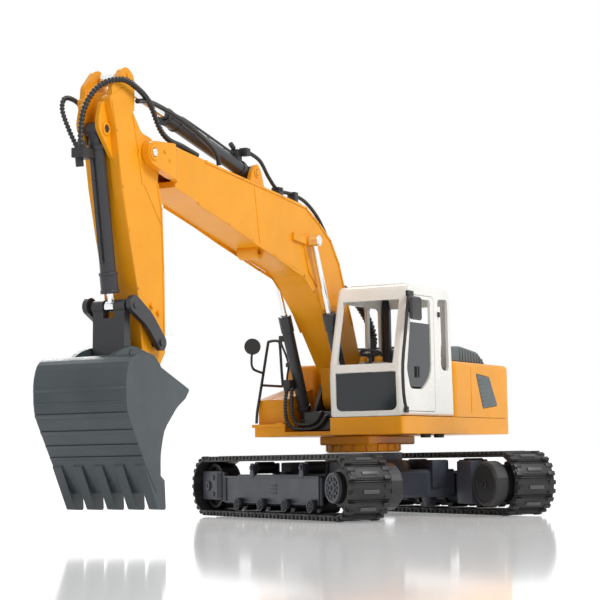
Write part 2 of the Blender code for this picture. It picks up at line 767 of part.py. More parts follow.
def upper_structure():
    axes = empty("slew_axes", SLEW_AXIS)
    deck(axes)
    cab(axes)
    rear_structure(axes)
    side_equipment(axes)


# ---------------------------------------------------------------- working equipment


def direction(start, end):
    return (Vector(end) - Vector(start)).normalized()


def along(start, end, distance):
    """The (x, z) point at a distance from start towards end."""
    return Vector(start) + direction(start, end) * distance


def cylinder(name, base, tip, y, size, axes, eye, trunnion, rod_eye):
    """A hydraulic ram: a barrel that swings on its base, and a rod that slides out to its tip."""
    radius, barrel, rod_radius = size
    start, end = at(base, y), at(tip, y)
    length = (Vector(end) - Vector(start)).length
    bore = rod_radius + 0.35
    body = turned(
        [(0, 10.0), (bore, 10.0), (bore, barrel), (radius + 0.5, barrel), (radius + 0.5, barrel - 11.0),
         (radius, barrel - 11.0), (radius, 1.0), (0, 1.0)],
        start,
        end,
        20,
    )
    boss = cross_bar(base, arm(y - eye[1], y + eye[1]), eye[0])
    pin = cross_bar(base, arm(*trunnion), 2.0, 16)
    barrel_piece = union(body, boss, pin)
    node(f"{name}_barrel", barrel_piece, RAM_GREY, axes, start)
    inner = along(base, tip, length * 0.36)
    rod = bar((inner[0], ARM_PLANE + y, inner[1]), end, rod_radius, 16)
    rod = union(rod, cross_bar(tip, arm(y + rod_eye[1], y + rod_eye[2]), rod_eye[0]))
    node(f"{name}_rod", rod, CHROME, axes, end)


def boom_outline():
    return rounded(
        [
            (240, 223.5), (76, 207.5, 35), (38, 188, 40), (8, 132, 60), (-3.5, 105, 3), (-1.5, 98, 2),
            (14.5, 98, 2), (42, 128.8, 50), (80, 161.5, 40), (150, 177.8, 100), (240, 199.5),
        ]
    )


def boom(axes):
    """The bent box boom, with its foot, fork, cylinder bosses and the stick cylinder's lugs."""
    body = side_plate(boom_outline(), arm(-BOOM_HALF, BOOM_HALF))
    foot = union(
        cross_bar(BOOM_FOOT, arm(-9.6, 9.6), 10.3, 28),
        side_plate([Vector(p) for p in ((-5.1, 84), (-1.0, 108), (20, 112), (15.0, 84))], arm(-9.4, 9.4)),
    )
    ear = rounded(
        [(231, 219.0), (247, 223.8, 6), (272, 222.0, 7), (277, 215, 6), (271, 208.6, 6), (250, 203.5, 10), (231, 202.0)]
    )
    plan = [Vector(p) for p in ((228, 9.7), (228, 11.3), (236, 11.3), (246, 16.4), (285, 16.4), (285, 11.6), (243, 11.6), (238, 9.7))]
    ears = []
    for side in (-1, 1):
        plan_here = [Vector((p.x, ARM_PLANE + side * p.y)) for p in plan]
        ears.append(common(side_plate(ear, arm(-20, 20)), floor_plate(plan_here, (180, 240))))
    bosses = [cross_bar(BOOM_CYLINDER_PIN, y, 3.6) for y in both_sides(11.0, 14.4)]
    panel = rounded([(62, 154), (74, 163.5), (83, 187, 5), (71, 190, 5), (60, 166)])
    panels = [side_plate(panel, y) for y in both_sides(11.0, 12.7)]
    lug = rounded([(122, 206), (146, 209), (140.5, 222, 6), (134, 230, 6), (128, 223, 6)])
    lugs = [side_plate(lug, y) for y in both_sides(5.0, 7.7)]
    shape = union(body, foot, *ears, *bosses, *panels, *lugs)
    hollow = side_plate(inset(boom_outline(), 2.4), arm(-BOOM_HALF + 2.2, BOOM_HALF - 2.2))
    mouth = block((236, 246), arm(-8.5, 8.5), (203, 220))
    shape = cut(
        shape,
        union(hollow, mouth),
        cross_bar(BOOM_FOOT, arm(-15, 15), 2.8, 16),
        cross_bar(STICK_PIVOT, arm(-20, 20), 2.7, 16),
        cross_bar(STICK_CYLINDER_BASE, arm(-9, 9), 2.4, 16),
    )
    node("boom", shape, ORANGE, axes, at(BOOM_FOOT, 0))
    node("stick_pin", cross_bar(STICK_PIVOT, arm(-17.2, 17.2), 2.3, 16), CHROME, axes, at(STICK_PIVOT, 0))


def stick(axes):
    """The stick, with two cheeks on its top front that hold both of its cylinders."""
    tip = [
        Vector(BUCKET_PIVOT) + 6.3 * Vector((math.cos(turn), math.sin(turn)))
        for turn in (math.radians(degrees) for degrees in range(-141, 0, 26))
    ]
    body = side_plate(
        rounded(
            [
                (306.5, 242, 3), (291, 250.5, 3), (282, 236, 8), (274, 226.5, 5), (262, 224.5, 8), (256, 212, 8),
                (257.5, 199, 8), (253.2, 186, 12), (251.5, 102, 3), *(tuple(p) for p in tip),
                (276.5, 103, 4), (280.5, 137), (289.3, 169), (295.2, 192), (300.5, 224),
            ]
        ),
        arm(-STICK_HALF, STICK_HALF),
    )
    top_ear = rounded([(281, 238), (280.5, 258, 7), (290, 263.5, 7), (303, 250, 4), (304.5, 238)])
    front_ear = rounded(
        [(290, 238), (302, 240), (309, 240, 8), (313, 225, 8), (305, 216, 8), (296, 206, 4), (288, 214)]
    )
    ears = [side_plate(top_ear, y) for y in both_sides(7.5, 10.8)]
    ears += [side_plate(front_ear, y) for y in both_sides(4.5, 7.4)]
    notch = [(298.9, 246.9), (298.9, 221), (292.4, 180), (292.4, 174), (320, 174), (320, 246.9)]
    shape = cut(
        union(body, *ears),
        block((276, 320), arm(-8.0, 8.0), (247.0, 270)),
        side_plate([Vector(p) for p in notch], arm(-5.0, 5.0)),
        cross_bar(STICK_PIVOT, arm(-15, 15), 2.8, 16),
        cross_bar(BUCKET_CYLINDER_BASE, arm(-8, 8), 2.4, 16),
        cross_bar(ROCKER_PIVOT, arm(-15, 15), 2.5, 16),
        cross_bar(BUCKET_PIVOT, arm(-15, 15), 2.5, 16),
    )
    node("stick", shape, ORANGE, axes, at(STICK_PIVOT, 0))


def rocker(side, axes, word):
    """One bent arm from the stick to the cross pin over the bucket link."""
    tip, root = Vector(ROCKER_TIP), Vector(ROCKER_PIVOT)
    lean = (tip - root).normalized()
    normal = Vector((-lean.y, lean.x))
    middle = (tip + root) / 2 + normal * 3.0
    outline = rounded(
        [
            (*(root - lean * 5.0 + normal * 4.4), 4),
            (*(root - lean * 5.0 - normal * 4.4), 4),
            (*(middle - normal * 4.4), 20),
            (*(tip + lean * 5.4 - normal * 5.2), 5),
            (*(tip + lean * 5.4 + normal * 5.2), 5),
            (*(middle + normal * 4.6), 20),
        ]
    )
    y = tuple(sorted((side * 13.2, side * 16.2)))
    plate = side_plate(outline, arm(*y))
    root_pin = cross_bar(ROCKER_PIVOT, arm(*sorted((side * 7.0, side * 17.2))), 2.1, 16)
    tip_pin = cross_bar(ROCKER_TIP, arm(*sorted((side * 4.2, side * 16.8))), 1.9, 16)
    node(f"rocker_{word}", union(plate, root_pin, tip_pin), DARK_STEEL, axes, at(ROCKER_PIVOT, side * 14.7))


def bucket_link(axes):
    """The link from the rockers' cross pin down to the bucket's front pin."""
    top, low = Vector(ROCKER_TIP), Vector(BUCKET_LINK_PIN)
    lean = (low - top).normalized()
    normal = Vector((-lean.y, lean.x))
    web = side_plate(
        rounded(
            [
                (*(top + normal * 2.6), 1),
                (*(top - normal * 2.6), 1),
                (*(low - lean * 1.0 - normal * 3.6), 1),
                (*(low - lean * 1.0 + normal * 3.6), 1),
            ]
        ),
        arm(-STICK_HALF + 0.5, STICK_HALF - 0.5),
    )
    sleeves = [cross_bar(ROCKER_TIP, y, 3.8) for y in both_sides(3.0, STICK_HALF)]
    foot = cross_bar(BUCKET_LINK_PIN, arm(-STICK_HALF + 0.2, STICK_HALF - 0.2), 3.9)
    shape = union(web, *sleeves, foot)
    eye_room = cross_bar(ROCKER_TIP, arm(-3.6, 3.6), 7.2, 20)
    shape = cut(shape, cross_bar(ROCKER_TIP, arm(-14, 14), 2.3, 16), eye_room)
    node("bucket_link", shape, DARK_STEEL, axes, at(ROCKER_TIP, 0))


def bucket(axes):
    """The bucket: a bent back with side walls, hinge ears, ribs and five teeth."""
    side = rounded(
        [
            (257, 80, 1), (301, 97.2, 8), (311, 98.4, 10), (318.6, 94.2, 9), (321.9, 84.5, 12), (321.8, 67.5, 22), (303, 37, 20), (292.5, 22.8),
            (288.5, 25.5, 1), (288.3, 43.5, 15), (284.5, 57, 15), (271, 69.5, 12), (261.5, 75.0, 3),
        ]
    )
    outer = side_plate(side, arm(-BUCKET_HALF, BUCKET_HALF))
    inside = side_plate(
        rounded(
            [
                (240, 71.5), (301.4, 94.9, 7), (310.2, 95.9, 8), (316.7, 92.4, 7), (319.5, 84.0, 10), (319.4, 68.3, 20), (301.2, 38.5, 18), (291.5, 26.5),
                (285, 10), (240, 40),
            ]
        ),
        arm(-BUCKET_HALF + 2.2, BUCKET_HALF - 2.2),
    )
    shell = cut(outer, inside)
    ear = rounded(
        [
            (260.5, 80.0), (260.5, 93.0, 6), (268, 99.5, 7), (278, 101.5, 12), (290, 104.6, 18), (304, 101.0, 14),
            (314.5, 95.0, 3), (303, 96.2),
        ]
    )
    ears = [side_plate(ear, y) for y in both_sides(EAR_INNER, 14.4)]
    tooth = rounded([(303.5, 40.5), (304.6, 37.6), (291.2, 13.8, 1.5), (283.0, 13.2, 1.5), (284.0, 29.5), (289.5, 33.0)])
    spacing = (2 * BUCKET_HALF - 6.4) / 4
    teeth = []
    for number in range(5):
        middle = -BUCKET_HALF + 3.2 + number * spacing
        teeth.append(side_plate(tooth, arm(middle - 2.9, middle + 2.9)))
    shape = union(shell, *ears, *teeth)
    shape = cut(shape, cross_bar(BUCKET_PIVOT, arm(-20, 20), 2.4, 16))
    node("bucket", shape, BUCKET_GREY, axes, at(BUCKET_PIVOT, 0))
    node("bucket_pin", cross_bar(BUCKET_PIVOT, arm(-15.2, 15.2), 2.1, 16), CHROME, axes, at(BUCKET_PIVOT, 0))


def hoses(axes):
    """Hoses held at both ends, each bundle as one bent tube."""
    root = [(-10, 2.8, 60), (-9.5, 2.8, 80), (-7, 2.5, 100), (-8, 1.5, 111), (-17, 0.5, 118), (-21, -1, 126), (-16, -2, 136),
            (-4, -3.5, 147), (6, -5, 153.5), (14.5, -6, 156.5)]
    node("boom_root_hose", tube(root, 3.0, 2), RUBBER, axes)
    over = [(9.5, -12.5, 146), (5.0, -13, 154), (5.0, -13.5, 164), (14, -14, 182), (32, -14, 202), (52, -14, 213),
            (72, -14, 216.5), (92, -14, 217), (108, -12.0, 223), (124, -9.5, 231.5), (141, -8.0, 234.5)]
    node("boom_hose", tube(over, 1.2, 2), RUBBER, axes)
    bend = [(211, -4.5, 222.6), (228, -4.5, 225.5), (243, -4.0, 227.0), (252.7, -4.0, 232.0), (263.2, -3.0, 243.0),
            (271, -1.5, 247.0), (281, 0.3, 249.6), (292, 0.5, 253.2), (300, -1.0, 253.6), (308, -5.0, 250.4),
            (314.5, -9, 243.0), (319, -12, 232.0), (319.5, -13.5, 218.0), (317.0, -14, 212)]
    node("stick_hose", tube(bend, 1.6, 2), RUBBER, axes)
    low = [(46.2, -34.6, 87), (46.4, -35.9, 78), (46.0, -35.6, 67), (45.3, -32.0, 61.2), (44.8, -26, 59.9),
           (44.0, -18, 59.9), (43.2, -11.5, 62.4), (42.4, -7.8, 67), (40.5, -7, 68)]
    node("boom_cylinder_hose", tube(low, 1.4, 2), RUBBER, axes)


def working_equipment():
    axes = empty("arm_axes", SLEW_AXIS)
    boom(axes)
    stick(axes)
    for side, word in ((1, "left"), (-1, "right")):
        y = side * BOOM_CYLINDER_OFFSET
        inward = tuple(sorted((side * 8.0, side * 16.0)))
        eye = (4.6, 2.8)
        sleeve = tuple(sorted((-side * 2.1, side * 4.4)))
        cylinder(
            f"boom_cylinder_{word}", BOOM_CYLINDER_BASE, BOOM_CYLINDER_PIN, y, (4.0, 76.5, 1.9), axes, eye, inward,
            (3.6, *sleeve),
        )
        rocker(side, axes, word)
    cylinder(
        "stick_cylinder", STICK_CYLINDER_BASE, STICK_CYLINDER_PIN, 0.0, (4.6, 99.0, 2.2), axes, (4.8, 4.5), (-8.1, 8.1),
        (3.8, -6.0, 6.0),
    )
    cylinder(
        "bucket_cylinder", BUCKET_CYLINDER_BASE, ROCKER_TIP, 0.0, (4.5, 91.0, 2.0), axes, (4.6, 4.4), (-7.8, 7.8),
        (2.9, -2.9, 2.9),
    )
    bucket_link(axes)
    bucket(axes)
    hoses(axes)


# ---------------------------------------------------------------- the model

clear_scene()
PARTS = new_collection("excavator")
WORKSHOP = new_collection("working_pieces")

ORANGE = material("orange_plastic", (0.87, 0.38, 0.02), 0.35)
CAB_WHITE = material("white_plastic", (0.85, 0.85, 0.82), 0.3)
GREY_PLASTIC = material("grey_plastic", (0.19, 0.24, 0.26), 0.45)
BLACK_PLASTIC = material("black_plastic", (0.02, 0.02, 0.022), 0.5)
RUBBER = material("track_rubber", (0.015, 0.015, 0.016), 0.7)
STEEL_BLUE = material("frame_plastic", (0.06, 0.07, 0.085), 0.5)
DARK_STEEL = material("dark_metal", (0.06, 0.065, 0.07), 0.45, 0.6)
RAM_GREY = material("ram_grey", (0.06, 0.06, 0.065), 0.4)
BUCKET_GREY = material("bucket_paint", (0.07, 0.09, 0.1), 0.45, 0.3)
CHROME = material("chrome", (0.85, 0.85, 0.86), 0.12, 1.0)
CAST_IRON = material("ballast_iron", (0.1, 0.1, 0.1), 0.7, 0.5)
DARK_GLASS = material("dark_glass", (0.02, 0.025, 0.028), 0.15)

undercarriage()
upper_structure()
working_equipment()
bpy.data.collections.remove(WORKSHOP)
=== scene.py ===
"""Looks for the radio-controlled excavator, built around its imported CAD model.

Lengths are in millimetres about the slew axis (X forward along the boom, Y left, Z up), as in the
part's own source, and `row` turns them into the row's metres.
"""

import json
import math

import bmesh
import bpy
from mathutils import Matrix, Vector


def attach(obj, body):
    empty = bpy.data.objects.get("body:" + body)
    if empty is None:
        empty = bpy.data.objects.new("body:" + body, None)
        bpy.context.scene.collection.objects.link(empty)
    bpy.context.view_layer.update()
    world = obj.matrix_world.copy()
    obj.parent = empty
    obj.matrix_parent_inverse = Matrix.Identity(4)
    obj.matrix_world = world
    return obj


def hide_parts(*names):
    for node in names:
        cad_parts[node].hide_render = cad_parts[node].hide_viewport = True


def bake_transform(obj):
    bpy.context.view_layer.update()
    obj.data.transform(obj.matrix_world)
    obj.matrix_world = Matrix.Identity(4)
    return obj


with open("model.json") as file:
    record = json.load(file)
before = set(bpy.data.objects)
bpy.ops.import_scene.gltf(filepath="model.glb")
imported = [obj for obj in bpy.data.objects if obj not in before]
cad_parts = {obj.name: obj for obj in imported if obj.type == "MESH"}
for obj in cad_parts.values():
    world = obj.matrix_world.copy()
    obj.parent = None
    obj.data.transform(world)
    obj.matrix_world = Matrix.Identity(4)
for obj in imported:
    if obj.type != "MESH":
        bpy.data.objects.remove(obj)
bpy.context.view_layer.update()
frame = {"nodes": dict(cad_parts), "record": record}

MM = 0.001
SLEW_AXIS = Vector((-95.521, 0.0, 0.0))
TRACK_YAW = math.radians(55.66)
ARM_PLANE = -14.0

# Undercarriage
TRACK_CENTRE = 62.15
AXLE_HEIGHT = 21.3
HALF_WHEELBASE = 97.3
BELT_PAD = 19.2
PADS = 46
ROLLER_HEIGHT = 9.0
ROLLER_PLACES = (-48.6, -12.4, 23.8, 60.0)
CARRIER_PLACES = (-29.5, 43.8)

# The bucket's outer shell: its furthest reach, and where its round corner and flat back begin
BUCKET_REACH = 321.8
BUCKET_CORNER = 22.0
BUCKET_CORNER_MIDDLE = 299.85
BUCKET_CORNER_HEIGHT = 73.65
BUCKET_FLAT_HEIGHT = 62.26
BUCKET_FLAT_REACH = 318.57
BUCKET_LEAN = 0.6164

# How far the collars stand out on a ram with free room, and on one close beside the boom
COLLAR = 0.9
COLLAR_BESIDE_BOOM = 0.3

# Pivots of the arm as (x, z)
BOOM_FOOT = (5.0, 83.0)
BOOM_CYLINDER_BASE = (24.5, 66.0)
BOOM_CYLINDER_PIN = (75.0, 183.6)
BOOM_CYLINDER_OFFSET = 16.9
STICK_PIVOT = (269.5, 215.4)
STICK_CYLINDER_BASE = (134.0, 222.6)
STICK_CYLINDER_PIN = (287.0, 256.3)
BUCKET_CYLINDER_BASE = (304.5, 224.5)
ROCKER_TIP = (290.0, 126.6)
BUCKET_PIVOT = (268.0, 91.5)
BUCKET_LINK_PIN = (290.0, 98.0)


# ---------------------------------------------------------------- helpers


def row(point):
    """A point about the slew axis, in the row's metres."""
    return (Vector(point) + SLEW_AXIS) * MM


UNDER = Matrix.Translation(SLEW_AXIS * MM) @ Matrix.Rotation(TRACK_YAW, 4, "Z")


def link(mesh, name, finish, body, smooth=40.0):
    """Shows a mesh that rides on a body, or on none."""
    obj = bpy.data.objects.new(name, mesh)
    bpy.context.scene.collection.objects.link(obj)
    mesh.materials.clear()
    mesh.materials.append(finish)
    mesh.shade_smooth()
    mesh.set_sharp_from_angle(angle=math.radians(smooth))
    if body:
        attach(obj, body)
    return obj


def mesh_of(bm, name):
    bmesh.ops.recalc_face_normals(bm, faces=bm.faces)
    mesh = bpy.data.meshes.new(name)
    bm.to_mesh(mesh)
    bm.free()
    return mesh


class Kit:
    """Small closed pieces gathered into one mesh."""

    def __init__(self):
        self.bm = bmesh.new()

    def _take(self, part, turn=None, chamfer=0.0, segments=2):
        if chamfer:
            bmesh.ops.bevel(
                part, geom=part.edges, offset=chamfer * MM, segments=segments, profile=0.6, affect="EDGES",
                clamp_overlap=True,
            )
        if turn:
            part.transform(turn)
        mesh = bpy.data.meshes.new("working")
        part.to_mesh(mesh)
        part.free()
        self.bm.from_mesh(mesh)
        bpy.data.meshes.remove(mesh)

    def block(self, x, y, z, chamfer=0.3, turn=None):
        part = bmesh.new()
        bmesh.ops.create_cube(part, size=1.0)
        for vert in part.verts:
            spans = zip((x, y, z), vert.co)
            vert.co = Vector([low + (high - low) * (c + 0.5) for (low, high), c in spans]) * MM
        self._take(part, turn if turn else Matrix.Translation(SLEW_AXIS * MM), chamfer)

    def bar(self, start, end, radius, sides=24, chamfer=0.0, end_radius=None):
        start, end = row(start), row(end)
        part = bmesh.new()
        far = radius if end_radius is None else end_radius
        bmesh.ops.create_cone(
            part, cap_ends=True, segments=sides, radius1=radius * MM, radius2=far * MM,
            depth=(end - start).length,
        )
        if chamfer:
            rim = [e for e in part.edges if any(len(f.verts) > 4 for f in e.link_faces)]
            bmesh.ops.bevel(part, geom=rim, offset=chamfer * MM, segments=2, profile=0.6, affect="EDGES")
        turn = (end - start).to_track_quat("Z", "Y").to_matrix().to_4x4()
        self._take(part, Matrix.Translation((start + end) / 2) @ turn)

    def ring(self, start, end, outer, inner, sides=28):
        start, end = row(start), row(end)
        half = (end - start).length / 2
        ease = min(0.25 * MM, half * 0.5)
        profile = [
            (inner * MM, -half), (outer * MM - ease, -half), (outer * MM, -half + ease),
            (outer * MM, half - ease), (outer * MM - ease, half), (inner * MM + ease, half),
            (inner * MM, half - ease),
        ]
        part = bmesh.new()
        rows = []
        for k in range(sides):
            angle = math.tau * k / sides
            rows.append([part.verts.new((r * math.cos(angle), r * math.sin(angle), z)) for r, z in profile])
        for here, ahead in zip(rows, rows[1:] + rows[:1]):
            for k in range(len(profile)):
                j = (k + 1) % len(profile)
                part.faces.new((here[k], ahead[k], ahead[j], here[j]))
        turn = (end - start).to_track_quat("Z", "Y").to_matrix().to_4x4()
        self._take(part, Matrix.Translation((start + end) / 2) @ turn)

    def plate(self, corners, y, chamfer=0.25):
        """An outline in x and z between two values of y."""
        part = bmesh.new()
        base = [part.verts.new(row((x, y[0], z))) for x, z in corners]
        face = part.faces.new(base)
        far = bmesh.ops.extrude_face_region(part, geom=[face])
        moved = [v for v in far["geom"] if isinstance(v, bmesh.types.BMVert)]
        bmesh.ops.translate(part, verts=moved, vec=Vector((0, (y[1] - y[0]) * MM, 0)))
        self._take(part, None, chamfer, 1)

    def strip(self, points, y, width, height, side=1):
        """A low rib along (x, z) points on the arm's side face at y."""
        for first, last in zip(points, points[1:]):
            a, b = Vector(first), Vector(last)
            lean = (b - a).normalized() * width * 0.3
            across = Vector((-(b - a).y, (b - a).x)).normalized() * width / 2
            corners = [a - lean + across, b + lean + across, b + lean - across, a - lean - across]
            low, high = sorted((y - side * 0.3, y + side * height))
            self.plate([tuple(c) for c in corners], (low, high), min(0.2, height * 0.4))

    def hose(self, points, radius, ridge=0.0, pitch=2.0, sides=12):
        """A tube along a smooth curve, with rings round it when it is a corrugated one."""
        path = smooth_path(points, pitch / 6 if ridge else 1.6)
        rows = []
        normal = (path[1] - path[0]).orthogonal().normalized()
        for i, here in enumerate(path):
            ahead = path[min(i + 1, len(path) - 1)] - path[max(i - 1, 0)]
            ahead.normalize()
            normal = (normal - ahead * normal.dot(ahead)).normalized()
            side = ahead.cross(normal)
            grow = radius
            if ridge:
                grow = radius - ridge * (0.0, 0.0, 0.35, 1.0, 1.0, 0.35)[i % 6]
            ring = []
            for k in range(sides):
                angle = math.tau * k / sides
                offset = (normal * math.cos(angle) + side * math.sin(angle)) * grow
                ring.append(self.bm.verts.new(row(here + offset)))
            rows.append(ring)
        for lower, upper in zip(rows, rows[1:]):
            for k in range(sides):
                j = (k + 1) % sides
                self.bm.faces.new((lower[k], lower[j], upper[j], upper[k]))
        self.bm.faces.new(rows[0])
        self.bm.faces.new(rows[-1])

    def done(self, name, shader, body, smooth=40.0):
        mesh = mesh_of(self.bm, name)
        return link(mesh, name, shader.material, body, smooth)


def smooth_path(points, step):
    """Points every step along a smooth curve through the given ones."""
    ends = [points[0]] + list(points) + [points[-1]]
    fine = []
    for i in range(1, len(ends) - 2):
        before, here, after, last = (Vector(p) for p in ends[i - 1 : i + 3])
        for k in range(24):
            t = k / 24
            fine.append(
                0.5
                * (
                    2 * here
                    + (after - before) * t
                    + (2 * before - 5 * here + 4 * after - last) * t**2
                    + (3 * here - before - 3 * after + last) * t**3
                )
            )
    fine.append(Vector(points[-1]))
    path = [fine[0]]
    walked = 0.0
    for a, b in zip(fine, fine[1:]):
        length = (b - a).length
        while length and walked + length >= step:
            share = (step - walked) / length
            a = a + (b - a) * share
            path.append(a.copy())
            length = (b - a).length
            walked = 0.0
        walked += length
    if (path[-1] - fine[-1]).length > step * 0.3:
        path.append(fine[-1])
    return path


# ---------------------------------------------------------------- materials


class Shader:
    """A Principled material under construction."""

    def __init__(self, name, colour, roughness, metallic=0.0):
        self.material = bpy.data.materials.new(name)
        self.material.use_nodes = True
        self.nodes = self.material.node_tree.nodes
        self.links = self.material.node_tree.links
        self.base = self.nodes["Principled BSDF"]
        self.base.inputs["Base Color"].default_value = (*colour, 1.0)
        self.base.inputs["Roughness"].default_value = roughness
        self.base.inputs["Metallic"].default_value = metallic
        self.colour = colour
        self.roughness = roughness
        place = self.nodes.new("ShaderNodeTexCoord")
        self.place = place.outputs["Object"]

    def noise(self, scale, detail=3.0, rough=0.5):
        node = self.nodes.new("ShaderNodeTexNoise")
        node.inputs["Scale"].default_value = scale
        node.inputs["Detail"].default_value = detail
        node.inputs["Roughness"].default_value = rough
        self.links.new(self.place, node.inputs["Vector"])
        return node.outputs["Fac"]

    def ramp(self, value, low, high, first, last):
        node = self.nodes.new("ShaderNodeMapRange")
        node.inputs["From Min"].default_value = low
        node.inputs["From Max"].default_value = high
        node.inputs["To Min"].default_value = first
        node.inputs["To Max"].default_value = last
        self.links.new(value, node.inputs["Value"])
        return node.outputs["Result"]

    def mix(self, factor, first, last):
        node = self.nodes.new("ShaderNodeMix")
        node.data_type = "RGBA"
        node.inputs["A"].default_value = (*first, 1.0)
        node.inputs["B"].default_value = (*last, 1.0)
        self.links.new(factor, node.inputs["Factor"])
        return node.outputs["Result"]

    def vary_roughness(self, scale, spread):
        value = self.ramp(self.noise(scale, 4.0), 0.3, 0.7, self.roughness - spread, self.roughness + spread)
        self.links.new(value, self.base.inputs["Roughness"])

    def vary_colour(self, scale, low, high):
        factor = self.ramp(self.noise(scale, 4.0, 0.6), 0.35, 0.65, 0.0, 1.0)
        first = tuple(c * low for c in self.colour)
        last = tuple(min(1.0, c * high) for c in self.colour)
        self.links.new(self.mix(factor, first, last), self.base.inputs["Base Color"])

    def surface(self, scale, strength, edge=0.35, distance=0.0004):
        """A fine moulded grain over edges that catch the light as if rounded."""
        bump = self.nodes.new("ShaderNodeBump")
        bump.inputs["Strength"].default_value = strength
        bump.inputs["Distance"].default_value = distance
        self.links.new(self.noise(scale, 2.0), bump.inputs["Height"])
        if edge:
            bevel = self.nodes.new("ShaderNodeBevel")
            bevel.samples = 4
            bevel.inputs["Radius"].default_value = edge * MM
            self.links.new(bevel.outputs["Normal"], bump.inputs["Normal"])
        self.links.new(bump.outputs["Normal"], self.base.inputs["Normal"])

    def coat(self, weight, roughness):
        self.base.inputs["Coat Weight"].default_value = weight
        self.base.inputs["Coat Roughness"].default_value = roughness


def moulded(name, colour, roughness, grain=900.0, strength=0.12, edge=0.4, spread=0.06, shade=0.96):
    shader = Shader(name, colour, roughness)
    shader.vary_colour(28.0, shade, 2.0 - shade)
    shader.vary_roughness(60.0, spread)
    shader.surface(grain, strength, edge)
    return shader


ORANGE = moulded("orange_paint", (0.84, 0.335, 0.006), 0.36, 700.0, 0.06)
ORANGE.base.inputs["Specular IOR Level"].default_value = 0.35
WHITE = moulded("white_moulding", (0.84, 0.83, 0.78), 0.28, 800.0, 0.04, 0.6)
WHITE.coat(0.3, 0.15)
BEIGE = moulded("beige_moulding", (0.5, 0.46, 0.38), 0.5)
GREY = moulded("grey_moulding", (0.085, 0.105, 0.112), 0.4)
BLACK = moulded("black_moulding", (0.016, 0.016, 0.017), 0.42)
FRAME = moulded("frame_moulding", (0.034, 0.039, 0.055), 0.4)
RUBBER = moulded("track_rubber", (0.01, 0.0097, 0.0097), 0.5, 500.0, 0.3, 0.3, 0.1, 0.8)
# A lighter grey rubber for the cross bars on the track links.
GREY_BAR_RUBBER = moulded("grey_bar_rubber", (0.075, 0.075, 0.08), 0.45, 400.0, 0.3)
HOSE = moulded("hose_rubber", (0.01, 0.01, 0.01), 0.36, 500.0, 0.1, 0.0)
DARK_METAL = moulded("dark_metal", (0.03, 0.031, 0.035), 0.36)
RAM = moulded("ram_paint", (0.028, 0.029, 0.034), 0.32, 900.0, 0.05)
BUCKET = moulded("bucket_paint", (0.047, 0.062, 0.068), 0.36, 600.0, 0.12, 0.45, 0.08, 0.85)
GLASS = Shader("dark_glass", (0.02, 0.027, 0.03), 0.1)
GLASS.vary_roughness(30.0, 0.03)
CHROME = Shader("chrome", (0.86, 0.87, 0.88), 0.12, 1.0)
CHROME.vary_roughness(200.0, 0.05)
CHROME.surface(1500.0, 0.04, 0.2)
IRON = moulded("ballast_iron", (0.1, 0.1, 0.1), 0.7, 300.0, 0.6)

SLOTS = {
    "orange_plastic": ORANGE,
    "white_plastic": WHITE,
    "grey_plastic": GREY,
    "black_plastic": BLACK,
    "track_rubber": RUBBER,
    "frame_plastic": FRAME,
    "dark_metal": DARK_METAL,
    "ballast_iron": IRON,
    "ram_grey": RAM,
    "bucket_paint": BUCKET,
    "chrome": CHROME,
    "dark_glass": GLASS,
}


def finish_nodes():
    """Gives each CAD node the material of its slot."""
    for part in frame["record"]["subparts"]:
        shader = SLOTS[part["material_slot"]]
        for slot in frame["nodes"][part["node"]].material_slots:
            slot.material = shader.material


finish_nodes()


# ---------------------------------------------------------------- undercarriage


def belt_place(distance, radius):
    """A point and the outward direction at a distance along the track's loop."""
    straight = 2 * HALF_WHEELBASE
    bend = math.pi * BELT_PAD
    distance %= 2 * (straight + bend)
    if distance < straight:
        return Vector((-HALF_WHEELBASE + distance, AXLE_HEIGHT + radius)), Vector((0, 1))
    if distance < straight + bend:
        turn = (distance - straight) / BELT_PAD
        out = Vector((math.sin(turn), math.cos(turn)))
        return Vector((HALF_WHEELBASE, AXLE_HEIGHT)) + out * radius, out
    if distance < 2 * straight + bend:
        return Vector((HALF_WHEELBASE - (distance - straight - bend), AXLE_HEIGHT - radius)), Vector((0, -1))
    turn = (distance - 2 * straight - bend) / BELT_PAD
    out = Vector((-math.sin(turn), -math.cos(turn)))
    return Vector((-HALF_WHEELBASE, AXLE_HEIGHT)) + out * radius, out


def under(u, v, z):
    """A place in the undercarriage's own axes, about the slew axis."""
    cos, sin = math.cos(TRACK_YAW), math.sin(TRACK_YAW)
    return Vector((u * cos - v * sin, u * sin + v * cos, z))


